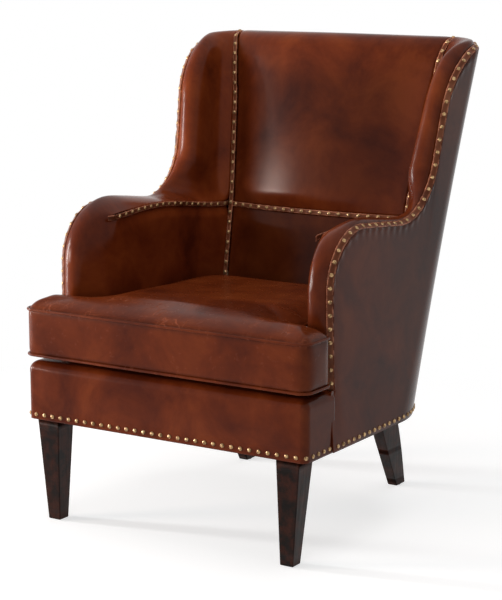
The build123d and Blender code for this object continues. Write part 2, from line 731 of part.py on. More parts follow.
def wing():
    """Leather and padding of the right wing: arm top, wing and top corner in one sweep."""
    stations = 30
    inner = inner_line()
    edge, first = edge_from(SEAM_HEIGHT + SEAM_GAP / 2)

    def outer_at(share):
        place = edge @ (first + (1 - first) * share)
        corner, outside = rim(place.X, place.Y)
        return corner - outside * NAIL_INSET

    step = 1 / (stations - 1)
    cover = []
    pad = []
    for index in range(stations):
        share = index * step
        before = max(0.0, share - step / 2)
        after = min(1.0, share + step / 2)
        start = inner @ share
        chord = outer_at(share) - start
        travel = (outer_at(after) - outer_at(before)).normalized()
        travel += ((inner @ after) - (inner @ before)).normalized()
        across = chord.normalized()
        normal = across.cross(travel).normalized()
        plane = Plane(start, x_dir=across, z_dir=across.cross(normal))
        points = roll_points(share, chord.length)
        radii = [HOLLOW_RADIUS, CROWN_RADIUS]
        cover.append(plane * band(points, radii, 0, -LEATHER))
        soft = filleted(points, radii, -FOAM_INSET)
        behind = [((soft @ 1).X, -ROLL_BASE), ((soft @ 0).X + ROLL_BASE, -ROLL_BASE)]
        pad.append(plane * closed_face(soft, *behind))
    return loft(cover, ruled=True), loft(pad, ruled=True)


def back_section(points, radii, share, near, far, behind=None):
    """Section of the inside back on a plane that leans with the upright seams."""
    lean = share * SEAM_FLARE
    stretch = sqrt(1 + lean ** 2)
    plane = Plane(
        (share * seam_x(0), 0, 0),
        x_dir=(0, 1, 0),
        z_dir=Vector(0, 1, 0).cross(Vector(lean, 0, 1)),
    )
    leaned = [(depth, height * stretch) for depth, height in points]
    if behind is None:
        return plane * band(leaned, radii, near, far)
    return plane * closed_face(filleted(leaned, radii, near),
                               *[(depth, height * stretch) for depth, height in behind])


def inside_back_panels():
    """Leather and padding of the inside back, above and below the level seam."""
    half_gap = SEAM_GAP / 2
    crest_rear = (REAR_MOST, EDGE_END_HEIGHT - EDGE_COVER_INSET + SOFT_GAP)
    low_end = APRON_TOP + SOFT_GAP
    pad_rear = BACK_PAD / cos(radians(BACK_RAKE))
    parts = {"upper": [[], []], "lower": [[], []]}
    edge_share = 1 - half_gap / SEAM_HALF_WIDTH
    dips = ((-edge_share, SEAM_DIP), (-PUFF_SHARE, 0), (0, 0), (PUFF_SHARE, 0), (edge_share, SEAM_DIP))
    for share, dip in dips:
        start = SEAM_HEIGHT + half_gap
        roll = start + SEAM_ROLL
        level_dip = SEAM_DIP + dip * CROSSING_DIP
        upper = [
            (inside_back(start) + level_dip, start),
            (inside_back(roll) + dip, roll),
            (inside_back(CREST_HEIGHT) + dip, CREST_HEIGHT - dip / 2),
            (REAR_MOST, CREST_HEIGHT - dip / 2),
            crest_rear,
        ]
        upper_radii = [SEAM_ROLL_RADIUS, CREST_FRONT_RADIUS, CREST_REAR_RADIUS]
        rail_top = CREST_RAIL_LOW + CREST_RAIL_HEIGHT + SOFT_GAP
        upper_behind = [
            (REAR_MOST - CREST_PAD_STEP, crest_rear[1]),
            (rear_face(rail_top) - CREST_PAD_STEP, rail_top),
            (inside_back(rail_top) + pad_rear, rail_top),
            (inside_back(start) + pad_rear, start),
        ]
        end = SEAM_HEIGHT - half_gap
        roll = end - SEAM_ROLL
        lower = [
            (inside_back(low_end) + dip, low_end),
            (inside_back(roll) + dip, roll),
            (inside_back(end) + level_dip, end),
        ]
        lower_behind = [(inside_back(end) + pad_rear, end), (inside_back(low_end) + pad_rear, low_end)]
        for name, points, radii, behind in (
            ("upper", upper, upper_radii, upper_behind),
            ("lower", lower, [SEAM_ROLL_RADIUS], lower_behind),
        ):
            parts[name][0].append(back_section(points, radii, share, 0, -LEATHER))
            parts[name][1].append(back_section(points, radii, share, -FOAM_INSET, None, behind))
    return {name: (loft(cover), loft(pad)) for name, (cover, pad) in parts.items()}


# Trim bands and nails
def ribbon(frames, width):
    """Flat strip through a list of (centre, normal, travel) frames, laid just clear of the leather."""
    sections = []
    for centre, normal, travel in frames:
        lifted = centre + normal * (TRIM_GAP + TRIM_THICKNESS / 2)
        plane = Plane(lifted, x_dir=normal, z_dir=travel)
        sections.append(plane * Rectangle(TRIM_THICKNESS, width))
    return loft(sections, ruled=True)


def evenly(length, pitch):
    """Shares of a line at which evenly pitched nails stand, half a pitch in from its ends."""
    count = max(2, round(length / pitch))
    return [(index + 0.5) / count for index in range(count)]


def nail():
    """Domed nail, with its head's underside on the XY plane."""
    radius = (NAIL_HEAD ** 2 / 4 + NAIL_DOME ** 2) / (2 * NAIL_DOME)
    ball = Pos(0, 0, NAIL_DOME - radius) * Sphere(radius)
    head = ball & Pos(0, 0, NAIL_DOME / 2) * Box(NAIL_HEAD * 2, NAIL_HEAD * 2, NAIL_DOME)
    shank = Cylinder(NAIL_SHANK / 2, NAIL_LENGTH, align=(Align.CENTER, Align.CENTER, Align.MAX))
    return head + shank


def nails_at(frames, lift):
    """Nails standing on frames, each lifted clear of what it holds."""
    pattern = nail().solid()
    placed = []
    for centre, normal, travel in frames:
        plane = Plane(centre + normal * lift, x_dir=travel, z_dir=normal)
        placed.append(plane.location * pattern)
    return group(placed)


TRIM_TOP = TRIM_GAP + TRIM_THICKNESS


def edge_trim():
    """Right outer trim band and its nails."""
    path = filleted(EDGE_POINTS, EDGE_RADII)
    stations = 2 * ceil(path.length / EDGE_NAIL_PITCH)
    strip = ribbon([edge_frame(path, index / stations) for index in range(stations + 1)], TRIM_WIDTH)
    frames = [edge_frame(path, share) for share in evenly(path.length, EDGE_NAIL_PITCH)]
    return strip, nails_at(frames, TRIM_TOP)


def straight_frames(start, end, normal, shares):
    """Frames along a straight line."""
    travel = (end - start).normalized()
    return [(start + (end - start) * share, normal, travel) for share in shares]


def arm_seam_points():
    """Right level seam along the inside arm, in plan, from behind the arm's front to the back."""
    points = inside_arm_points(SEAM_HEIGHT)
    ahead = (points[3][0], points[3][1] - NOSE_RUN / 2)
    return [ahead, points[4], points[5]]


def inside_trim():
    """Trim bands and nails of the upright and level inside seams."""
    facing = BACK_PLANE.z_dir
    crest_end = CREST_HEIGHT - CREST_FRONT_RADIUS
    strips = []
    frames = []
    for sign in (-1, 1):
        ends = [Vector(sign * seam_x(height), inside_back(height) + SEAM_DIP, height)
                for height in (APRON_TOP + SOFT_GAP, crest_end)]
        strips.append(ribbon(straight_frames(*ends, facing, (0, 1)), INSIDE_TRIM_WIDTH))
        ends[0] = Vector(sign * seam_x(TOP_WELT_HEIGHT), inside_back(TOP_WELT_HEIGHT) + SEAM_DIP,
                         TOP_WELT_HEIGHT)
        shares = evenly((ends[1] - ends[0]).length, INSIDE_NAIL_PITCH)
        frames += straight_frames(*ends, facing, shares)
    reach = seam_x(SEAM_HEIGHT) - INSIDE_TRIM_WIDTH / 2 - TRIM_GAP
    depth = inside_back(SEAM_HEIGHT) + SEAM_DIP
    ends = [Vector(-reach, depth, SEAM_HEIGHT), Vector(reach, depth, SEAM_HEIGHT)]
    strips.append(ribbon(straight_frames(*ends, facing, (0, 1)), INSIDE_TRIM_WIDTH))
    frames += straight_frames(*ends, facing, evenly(2 * reach, INSIDE_NAIL_PITCH))
    points = arm_seam_points()
    offset_by = TRIM_GAP - ARM_SEAM_DIP
    face = band(points, [BACK_CORNER_RADIUS], offset_by, offset_by + TRIM_THICKNESS)
    low = SEAM_HEIGHT - INSIDE_TRIM_WIDTH / 2
    arm_strip = Pos(0, 0, low) * extrude(face, INSIDE_TRIM_WIDTH)
    clear = seam_x(SEAM_HEIGHT) + INSIDE_TRIM_WIDTH / 2 + TRIM_GAP
    arm_strip &= block(clear, WIDEST, 0, CREST_DEPTH, 0, CREST_HEIGHT)
    strips += [arm_strip, mirrored(arm_strip)]
    line = filleted(points, [BACK_CORNER_RADIUS], -ARM_SEAM_DIP)
    for share in evenly(line.length, INSIDE_NAIL_PITCH)[:-1]:
        place = line @ share
        along = line % share
        for sign in (-1, 1):
            centre = Vector(sign * place.X, place.Y, SEAM_HEIGHT)
            frames.append((centre, Vector(-sign * along.Y, along.X, 0), Vector(0, 0, 1)))
    return group(strips), nails_at(frames, TRIM_TOP)


def skirt_nails():
    """Nails round the lower edge of the apron and the outside covers."""
    height = LEG_HEIGHT + SKIRT_NAIL_RISE
    half = half_width(height)
    rear = rear_face(height)
    corner = corner_radius(height)
    front = FilletPolyline(
        (-APRON_HALF_WIDTH, APRON_DEPTH), (-APRON_HALF_WIDTH, 0), (APRON_HALF_WIDTH, 0),
        (APRON_HALF_WIDTH, APRON_DEPTH), radius=[APRON_CORNER, APRON_CORNER],
    )
    around = FilletPolyline(
        (half, APRON_DEPTH), (half, rear), (-half, rear), (-half, APRON_DEPTH),
        radius=[corner, corner],
    )
    frames = []
    for line in (front, around):
        for share in evenly(line.length, SKIRT_NAIL_PITCH):
            place = line @ share
            along = line % share
            centre = Vector(place.X, place.Y, height)
            frames.append((centre, Vector(along.Y, -along.X, 0), Vector(0, 0, 1)))
    return nails_at(frames, TRIM_GAP)


# Legs
def square_section(x, width, y0, y1, height):
    """Rectangular section of a leg at a height."""
    return Pos(x, (y0 + y1) / 2, height) * Rectangle(width, y1 - y0)


def legs():
    """Front and rear legs of the right side, with the bolts and glides of all four."""
    half = FRONT_LEG_FOOT / 2
    foot = square_section(FRONT_LEG_FOOT_X, FRONT_LEG_FOOT, FRONT_LEG_FOOT_Y - half,
                          FRONT_LEG_FOOT_Y + half, GLIDE_HEIGHT)
    half = FRONT_LEG_TOP / 2
    top = square_section(FRONT_LEG_TOP_X, FRONT_LEG_TOP, FRONT_LEG_TOP_Y - half,
                         FRONT_LEG_TOP_Y + half, LEG_HEIGHT)
    front = loft([foot, top]) - leg_bolt_hole(*front_bolt_place())
    sections = []
    for share, (y0, y1) in ((0, REAR_LEG_FOOT), (REAR_LEG_SHIN_SHARE, REAR_LEG_SHIN),
                            (REAR_LEG_KNEE_SHARE, REAR_LEG_KNEE), (1, REAR_LEG_TOP)):
        width = REAR_LEG_FOOT_WIDTH + (REAR_LEG_TOP_WIDTH - REAR_LEG_FOOT_WIDTH) * share
        height = GLIDE_HEIGHT + (LEG_HEIGHT - GLIDE_HEIGHT) * share
        sections.append(square_section(REAR_LEG_X, width, SKIRT_REAR + y0, SKIRT_REAR + y1, height))
    rear = loft(sections) - leg_bolt_hole(REAR_LEG_X, rear_bolt_depth())
    low = LEG_HEIGHT - BOLT_DEPTH_IN_LEG
    upright = (Align.CENTER, Align.CENTER, Align.MIN)
    bolts = []
    glides = []
    feet = (FRONT_LEG_FOOT_X, FRONT_LEG_FOOT_Y), (REAR_LEG_X, SKIRT_REAR + sum(REAR_LEG_FOOT) / 2)
    holes = front_bolt_place(), (REAR_LEG_X, rear_bolt_depth())
    for sign in (-1, 1):
        for (foot_x, foot_y), (hole_x, hole_y) in zip(feet, holes):
            bolts.append(Pos(sign * hole_x, hole_y, low)
                         * Cylinder(BOLT_DIAMETER / 2, BOLT_LENGTH, align=upright))
            glides.append(Pos(sign * foot_x, foot_y, 0)
                          * Cylinder(GLIDE_DIAMETER / 2, GLIDE_HEIGHT, align=upright))
    return front, rear, group(bolts), group(glides)


# Loose cushion
CUSHION_REAR = inside_back(BOTTOM_WELT_HEIGHT) - CUSHION_BACK_GAP


def cushion_outline(inset):
    """T-shaped outline of the cushion, drawn in by an inset."""
    wide = CUSHION_HALF_WIDTH - inset
    neck = CUSHION_NECK_HALF_WIDTH - inset
    front = inset - CUSHION_OVERHANG
    ear = CUSHION_EAR_REAR - inset
    rear = CUSHION_REAR - inset
    ear_depth = ear - front
    front_radius = min(max(CUSHION_FRONT_RADIUS - inset, LEATHER), EAR_ROUND_LIMIT * ear_depth)
    ear_radius = min(max(CUSHION_EAR_RADIUS - inset, LEATHER), EAR_ROUND_LIMIT * ear_depth)
    notch = CUSHION_NOTCH_RADIUS + inset
    rear_radius = max(CUSHION_REAR_RADIUS - inset, LEATHER)
    return FilletPolyline(
        (-wide, front), (wide, front), (wide, ear), (neck, ear),
        (neck, rear), (-neck, rear), (-neck, ear), (-wide, ear),
        radius=[front_radius, front_radius, ear_radius, notch,
                rear_radius, rear_radius, notch, ear_radius],
        close=True,
    )


def cushion_level(height, inset):
    """Face of the cushion at a height."""
    return Pos(0, 0, height) * make_face(cushion_outline(inset).edges())


def cushion():
    """Core, leather panels, boxing and welts of the loose cushion."""
    half_slot = WELT_RADIUS + CUSHION_REST_GAP
    low = BOTTOM_WELT_HEIGHT
    high = TOP_WELT_HEIGHT
    top = high + CUSHION_CROWN
    seam = WELT_INSET
    core_seam = seam + WELT_RADIUS + SOFT_GAP
    drawn = seam + CUSHION_DRAW_IN

    def crown(drop, step_in, start):
        """Crowned half of the cushion above its top seam."""
        shoulder = start + CROWN_SHOULDER_RISE * (top - drop - start)
        return loft([
            cushion_level(start, seam + step_in),
            cushion_level(shoulder, SHOULDER_INSET * CUSHION_CROWN_INSET + step_in),
            cushion_level(top - drop, CUSHION_CROWN_INSET + step_in),
        ])

    def tray(raise_by, step_in, end):
        """Rounded underside of the cushion below its bottom seam."""
        shoulder = (CUSHION_BASE + raise_by + end) / 2
        return loft([
            cushion_level(CUSHION_BASE + raise_by, CUSHION_UNDERSIDE + step_in),
            cushion_level(shoulder, SHOULDER_INSET * CUSHION_UNDERSIDE + step_in),
            cushion_level(end, seam + step_in),
        ])

    top_panel = crown(0, 0, high + half_slot) - crown(LEATHER, LEATHER, high)
    bottom_panel = tray(0, 0, low - half_slot) - tray(LEATHER, LEATHER, low)
    band_levels = ((low + half_slot, seam), (ZIP_HEIGHT, drawn), (high - half_slot, seam))
    boxing = loft([cushion_level(height, inset) for height, inset in band_levels])
    past = ((low, seam), (ZIP_HEIGHT, drawn), (high, seam))
    boxing -= loft([cushion_level(height, inset + LEATHER) for height, inset in past])
    core = crown(FOAM_INSET, WELT_RADIUS + SOFT_GAP, high)
    core += tray(FOAM_INSET, WELT_RADIUS + SOFT_GAP, low)
    core_levels = ((low, core_seam), (ZIP_HEIGHT, drawn + FOAM_INSET), (high, core_seam))
    core = loft([cushion_level(height, inset) for height, inset in core_levels]) + core
    welts = []
    for height in (high, low):
        path = Pos(0, 0, height) * cushion_outline(seam)
        welts.append(sweep(Plane(path @ 0, z_dir=path % 0) * Circle(WELT_RADIUS), path))
    return core, group([top_panel, bottom_panel]), boxing, welts


def cushion_zip(core, boxing):
    """Zip in the rear boxing: slot and pocket cut for it, tape with teeth, and slider."""
    boxing_rear = CUSHION_REAR - WELT_INSET - CUSHION_DRAW_IN
    boxing_inner = boxing_rear - LEATHER
    tape_rear = boxing_inner - ZIP_GAP
    tape_front = tape_rear - ZIP_TAPE_THICKNESS
    half_tape = ZIP_TAPE_WIDTH / 2
    half_slot = ZIP_SLOT / 2
    half_teeth = ZIP_TEETH_WIDTH / 2
    margin = LEATHER + ZIP_GAP
    boxing -= block(-ZIP_HALF_LENGTH, ZIP_HALF_LENGTH, boxing_inner - margin, CUSHION_REAR,
                    ZIP_HEIGHT - half_slot, ZIP_HEIGHT + half_slot)
    core -= block(-ZIP_HALF_LENGTH - half_tape - margin, ZIP_HALF_LENGTH + half_tape + margin,
                  tape_front - ZIP_GAP, CUSHION_REAR, ZIP_HEIGHT - half_tape - margin,
                  ZIP_HEIGHT + half_tape + margin)
    tape = block(-ZIP_HALF_LENGTH - half_tape, ZIP_HALF_LENGTH + half_tape, tape_front, tape_rear,
                 ZIP_HEIGHT - half_tape, ZIP_HEIGHT + half_tape)
    teeth_end = ZIP_HALF_LENGTH - ZIP_GAP
    tape += block(-teeth_end, teeth_end, tape_rear, tape_rear + ZIP_TEETH_HEIGHT,
                  ZIP_HEIGHT - half_teeth, ZIP_HEIGHT + half_teeth)
    x = SLIDER_START_INSET - ZIP_HALF_LENGTH
    half_length = SLIDER_LENGTH / 2
    half_width_z = SLIDER_WIDTH / 2
    slider_front = tape_rear + ZIP_GAP
    slider = block(x - half_length, x + half_length, slider_front, slider_front + SLIDER_HEIGHT,
                   ZIP_HEIGHT - half_width_z, ZIP_HEIGHT + half_width_z)
    upright = slider.edges().filter_by(Axis.Y)
    slider = fillet(upright, half_width_z / 2)
    slider -= block(x - SLIDER_LENGTH, x + SLIDER_LENGTH, slider_front - ZIP_GAP,
                    tape_rear + ZIP_TEETH_HEIGHT + ZIP_GAP, ZIP_HEIGHT - half_teeth - ZIP_GAP,
                    ZIP_HEIGHT + half_teeth + ZIP_GAP)
    return core, boxing, tape, slider


def chair():
    """Every piece of the chair by its node's name."""
    pieces = {}

    def both_sides(name, right):
        pieces["left_" + name] = mirrored(right)
        pieces["right_" + name] = right

    pieces.update(seat_rails())
    pieces["seat_corner_blocks"] = corner_blocks()
    for name, shape in zip(("arm_post", "arm_rail", "wing_post"), arm_frame()):
        both_sides(name, shape)
    pieces.update(back_frame())
    pieces["seat_springs"], pieces["spring_clips"] = seat_springs()
    pieces["apron_cover"], pieces["apron_pad"] = apron()
    pieces["deck_cover"], pieces["deck_pad"] = deck()
    pieces["dust_cover"] = dust_cover()
    outside, pieces["outside_back_cover"] = outside_covers()
    both_sides("outside_cover", outside)
    for name, shape in zip(("inside_arm_cover", "inside_arm_pad"), inside_arm()):
        both_sides(name, shape)
    for name, shape in zip(("wing_cover", "wing_pad"), wing()):
        both_sides(name, shape)
    for level, (cover, pad) in inside_back_panels().items():
        pieces[level + "_inside_back_cover"] = cover
        pieces[level + "_inside_back_pad"] = pad
    for name, shape in zip(("edge_trim", "edge_nails"), edge_trim()):
        both_sides(name, shape)
    pieces["inside_trim"], pieces["inside_nails"] = inside_trim()
    pieces["skirt_nails"] = skirt_nails()
    front_leg, rear_leg, pieces["leg_bolts"], pieces["leg_glides"] = legs()
    both_sides("front_leg", front_leg)
    both_sides("rear_leg", rear_leg)
    core, pieces["cushion_panels"], boxing, welts = cushion()
    pieces["cushion_top_welt"], pieces["cushion_bottom_welt"] = welts
    core, boxing, tape, slider = cushion_zip(core, boxing)
    pieces["cushion_core"] = core
    pieces["cushion_boxing"] = boxing
    pieces["cushion_zip_tape"] = tape
    pieces["cushion_zip_slider"] = slider
    return pieces


os.makedirs("parts", exist_ok=True)
for piece_name, piece in chair().items():
    export_step(Pos(0, -CENTRE_DEPTH, 0) * piece, os.path.join("parts", piece_name + ".step"))
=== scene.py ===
import json
from bisect import bisect_right
from math import acos, atan2, ceil, cos, hypot, pi, radians, sin, sqrt, tan

import bmesh
import bpy
from mathutils import Matrix, Vector, noise


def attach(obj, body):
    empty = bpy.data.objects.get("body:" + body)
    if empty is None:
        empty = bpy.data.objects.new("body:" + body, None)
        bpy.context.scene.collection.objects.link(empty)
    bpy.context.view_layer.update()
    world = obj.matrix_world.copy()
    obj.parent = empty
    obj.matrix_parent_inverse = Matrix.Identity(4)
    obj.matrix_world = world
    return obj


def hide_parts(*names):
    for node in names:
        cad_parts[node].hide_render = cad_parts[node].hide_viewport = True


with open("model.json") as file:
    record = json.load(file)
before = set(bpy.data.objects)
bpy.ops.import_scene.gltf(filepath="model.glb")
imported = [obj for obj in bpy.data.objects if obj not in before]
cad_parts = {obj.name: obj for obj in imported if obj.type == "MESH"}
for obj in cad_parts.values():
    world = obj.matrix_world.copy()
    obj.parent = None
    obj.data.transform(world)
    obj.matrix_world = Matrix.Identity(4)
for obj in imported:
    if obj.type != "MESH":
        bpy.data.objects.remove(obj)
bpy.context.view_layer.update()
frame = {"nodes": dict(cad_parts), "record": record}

# Sizes are in millimetres: across from the middle, depth back from the apron's face, height from the floor
MM = 0.001
MIDDLE_DEPTH = 389.0
CREST_HEIGHT = 1043.0
CREST_FRONT = 1041.0
CREST_REAR = 1034.0
CREST_DEPTH = 790.0
REAR_MOST = 787.0
TAN_RAKE = tan(radians(12.1))
BACK_THICKNESS = 98.0
WING_DEPTH = 171.0
LEG_HEIGHT = 228.0
WAIST_HEIGHT = 640.0
APRON_TOP = 355.0
APRON_HALF_WIDTH = 352.0
SIDE_SEAM_DEPTH = 104.0
SEAM_HEIGHT = 632.0
ARM_SEAM_RISE = 26.0
SEAM_DIP = 9.0
FACE_SINK = 33.0
ARM_DIP = 5.0
HALF_GAP = 5.0
LEATHER = 2.0
ARM_SETBACK = 111.0
ARM_HEIGHT = 690.0
ARM_FRONT_RADIUS = 125.0
EDGE_END_HEIGHT = 1029.0
CREST_BEND = 985.0
NAIL_INSET = 10.0
COVER_INSET = 8.0
SEAT_HALF_WIDTH = 256.0
NOSE_DEPTH = 9.0
NOSE_RUN = 71.0
BACK_CORNER_RUN = 62.0
BACK_SEAM = 209.0
WELT_LOW = 370.3
WELT_HIGH = 469.3
ZIP_DEPTH = 532.0
NAIL_RADIUS = 4.75
EDGE_PITCH = 28.0
INSIDE_PITCH = 24.0
SKIRT_PITCH = 22.1
SKIRT_NAIL_HEIGHT = 238.0


def spot(across, depth, height):
    """Point in the row frame."""
    return Vector((across, depth - MIDDLE_DEPTH, height)) * MM


def ease(value):
    """Smooth step from 0 to 1."""
    value = min(max(value, 0.0), 1.0)
    return value * value * (3 - 2 * value)


def mix(low, high, share):
    return low + (high - low) * share


# Form of the chair
def rear_face(height):
    return CREST_DEPTH - (CREST_HEIGHT - height) * TAN_RAKE


def inside_back(height):
    return rear_face(height) - BACK_THICKNESS


def through_levels(height, skirt, waist, crest):
    """Quadratic through values at the skirt, the waist and the crest."""
    a, b, c = LEG_HEIGHT, WAIST_HEIGHT, CREST_HEIGHT
    return (skirt * (height - b) * (height - c) / ((a - b) * (a - c))
            + waist * (height - a) * (height - c) / ((b - a) * (b - c))
            + crest * (height - a) * (height - b) / ((c - a) * (c - b)))


def half_width(height):
    return through_levels(height, 357.0, 343.0, 370.0) - 6.0 * ease((height - 990.0) / 45.0)


def corner_radius(height):
    return through_levels(height, 220.0, 112.0, 80.0)


def sink(height):
    """How far the upright inside seams lie behind the middle of the back."""
    return mix(FACE_SINK, 48.0, ease((height - CREST_BEND) / 45.0))


def seam_place(height):
    """Half distance between the upright inside seams, and their depth."""
    rise = height - 657.0
    across = 236.0 + (0.093 if rise > 0 else 0.037) * rise
    across += 0.63 * (sink(height) - FACE_SINK) + 5.0 * ease((height - 880.0) / 80.0)
    return across, inside_back(height) + sink(height)


def rim(depth, height):
    """Point on the outside of the chair, and its outward direction in plan."""
    radius = corner_radius(height)
    past = min(max(0.0, depth - rear_face(height) + radius), radius)
    outward = Vector((sqrt(radius ** 2 - past ** 2), past, 0)) / radius
    return Vector((half_width(height) - radius, depth - past, height)) + outward * radius, outward


def run_at(depth, height):
    """Distance round the outside, from the middle of the back, to a depth on the side."""
    radius = corner_radius(height)
    flat = half_width(height) - radius
    past = depth - rear_face(height) + radius
    if past <= 0:
        return flat + radius * pi / 2 - past
    return flat + radius * acos(min(past / radius, 1.0))


def outside_spot(run, height, out=0.0):
    """Point on the outside of the chair at a distance round it, lifted outwards."""
    side = -1 if run < 0 else 1
    run = abs(run)
    radius = corner_radius(height)
    flat = half_width(height) - radius
    rear = rear_face(height)
    angle = min(max((run - flat) / radius, 0.0), pi / 2)
    ahead = max(0.0, run - flat - radius * pi / 2)
    across = min(run, flat) + (radius + out) * sin(angle)
    depth = rear - radius + (radius + out) * cos(angle) - ahead
    return spot(side * across, depth, height)


# Lines
class Track:
    """Line through points that gives the point at any share of its length."""

    def __init__(self, points):
        self.points = [Vector(point) for point in points]
        self.marks = [0.0]
        for start, end in zip(self.points, self.points[1:]):
            self.marks.append(self.marks[-1] + (end - start).length)
        self.length = self.marks[-1]

    def along(self, distance):
        distance = min(max(distance, 0.0), self.length)
        index = min(bisect_right(self.marks, distance), len(self.points) - 1)
        start = self.marks[index - 1]
        step = self.marks[index] - start
        return self.points[index - 1].lerp(self.points[index], (distance - start) / step if step else 0.0)

    def at(self, share):
        return self.along(share * self.length)

    def heading(self, share, reach=1.0):
        here = share * self.length
        return (self.along(here + reach) - self.along(here - reach)).normalized()


def rounded(corners, radii, step=3.0, closed=False):
    """Points along a line through corners, with each corner rounded to its radius."""
    corners = [Vector(corner).to_3d() for corner in corners]
    points = []
    if closed:
        triples = zip(corners[-1:] + corners[:-1], corners, corners[1:] + corners[:1], radii)
    else:
        points.append(corners[0])
        triples = zip(corners, corners[1:], corners[2:], radii)
    for before, corner, after, radius in triples:
        back = (before - corner).normalized()
        ahead = (after - corner).normalized()
        half = back.angle(ahead) / 2
        reach = radius / tan(half)
        turn = pi - 2 * half
        middle = corner + (back + ahead).normalized() * (radius / sin(half))
        start = corner + back * reach - middle
        end = corner + ahead * reach - middle
        count = max(2, ceil(radius * turn / step))
        for index in range(count + 1):
            share = index / count
            points.append(middle + (start * sin((1 - share) * turn) + end * sin(share * turn)) / sin(turn))
    if not closed:
        points.append(corners[-1])
    return points


def wing_edge(height):
    return rear_face(height) - WING_DEPTH


EDGE_CORNERS = [
    (ARM_SETBACK, APRON_TOP),
    (ARM_SETBACK, ARM_HEIGHT),
    (wing_edge(651.0), 651.0),
    (wing_edge(1001.0), 1001.0),
    (rear_face(EDGE_END_HEIGHT) - 12.0, EDGE_END_HEIGHT - 2.0),
]
EDGE_RADII = [ARM_FRONT_RADIUS, 150.0, 165.0]


def edge_line(inset):
    """Outer edge seen from the side, in depth and height, moved in from the edge."""
    corners = [Vector(corner) for corner in EDGE_CORNERS]
    normals = []
    for start, end in zip(corners, corners[1:]):
        travel = (end - start).normalized()
        normals.append(Vector((travel.y, -travel.x)))
    moved = [corners[0] + normals[0] * inset]
    radii = []
    for corner, before, after, radius in zip(corners[1:], normals, normals[1:], EDGE_RADII):
        moved.append(corner + (before + after) * (inset / (1 + before.dot(after))))
        turns_left = before.x * after.y - before.y * after.x > 0
        radii.append(radius + inset if turns_left else radius - inset)
    moved.append(corners[-1] + normals[-1] * inset)
    return Track(rounded(moved, radii))


EDGE = edge_line(0.0)
ARM_SLOPE = atan2(EDGE_CORNERS[2][1] - ARM_HEIGHT, EDGE_CORNERS[2][0] - ARM_SETBACK)
FRONT_ARC_START = ARM_HEIGHT - ARM_FRONT_RADIUS * tan((pi / 2 - ARM_SLOPE) / 2)


def arm_front(height):
    """Depth of the outer edge on the arm's front."""
    rise = min(max(0.0, height - FRONT_ARC_START), ARM_FRONT_RADIUS)
    return ARM_SETBACK + ARM_FRONT_RADIUS - sqrt(ARM_FRONT_RADIUS ** 2 - rise ** 2)


def edge_ends(share):
    """Where the padded roll ends and where the outside cover ends, on each side of the outer trim."""
    place = EDGE.at(share)
    travel = EDGE.heading(share)
    corner, outward = rim(place.x, place.y)
    return corner - outward * NAIL_INSET, corner - Vector((0, -travel.y, travel.x)) * COVER_INSET


# Mesh tools
def net(columns, rows, place, flip=False):
    """Grid of faces laid by a function of two shares."""
    sheet = bmesh.new()
    bmesh.ops.create_grid(sheet, x_segments=columns, y_segments=rows, size=0.5)
    for vert in sheet.verts:
        across = round((vert.co.x + 0.5) * columns) / columns
        up = round((vert.co.y + 0.5) * rows) / rows
        vert.co = place(across, up)
    if flip:
        bmesh.ops.reverse_faces(sheet, faces=sheet.faces)
    return sheet


def take_in(sheet, other):
    """Adds another sheet's faces."""
    carried = bpy.data.meshes.new("carried")
    other.to_mesh(carried)
    other.free()
    sheet.from_mesh(carried)
    bpy.data.meshes.remove(carried)


def soften(sheet, verts):
    """Evens out the places of some vertices."""
    bmesh.ops.smooth_vert(sheet, verts=verts, factor=0.5, use_axis_x=True, use_axis_y=True, use_axis_z=True)


def mirrored(sheet):
    """Copy of a sheet for the chair's other side."""
    twin = sheet.copy()
    bmesh.ops.scale(twin, vec=(-1, 1, 1), verts=twin.verts)
    bmesh.ops.reverse_faces(twin, faces=twin.faces)
    return twin


def finish_piece(name, sheet, material, body="frame", replaces=(), thick=0.0, level=0):
    """Object made of a sheet, with its finish, the body that it rides on and the nodes that it stands for."""
    mesh = bpy.data.meshes.new(name)
    sheet.to_mesh(mesh)
    sheet.free()
    for face in mesh.polygons:
        face.use_smooth = True
    mesh.materials.append(material)
    made = bpy.data.objects.new(name, mesh)
    bpy.context.scene.collection.objects.link(made)
    if thick:
        wall = made.modifiers.new("leather thickness", "SOLIDIFY")
        wall.thickness = thick * MM
        wall.offset = -1
    if level:
        softer = made.modifiers.new("softer", "SUBSURF")
        softer.levels = level
        softer.render_levels = level
    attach(made, body)
    if replaces:
        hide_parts(*replaces)
    return made


# Finishes
def add(tree, kind, **settings):
    """Node with its sockets and settings filled in."""
    made = tree.nodes.new("ShaderNode" + kind)
    for key, value in settings.items():
        label = key.replace("_", " ").title()
        if label in made.inputs:
            made.inputs[label].default_value = value
        else:
            setattr(made, key, value)
    return made


def join(tree, start, output, end, socket):
    tree.links.new(start.outputs[output], end.inputs[socket])


def ramp(tree, *stops):
    made = tree.nodes.new("ShaderNodeValToRGB")
    band = made.color_ramp
    while len(band.elements) < len(stops):
        band.elements.new(0.5)
    for element, (place, shade) in zip(band.elements, stops):
        element.position = place
        element.color = shade if len(shade) == 4 else (*shade, 1.0)
    return made


def grey(value):
    return (value, value, value)


def new_finish(name):
    material = bpy.data.materials.new(name)
    material.use_nodes = True
    tree = material.node_tree
    return material, tree, tree.nodes["Principled BSDF"], add(tree, "TexCoord")


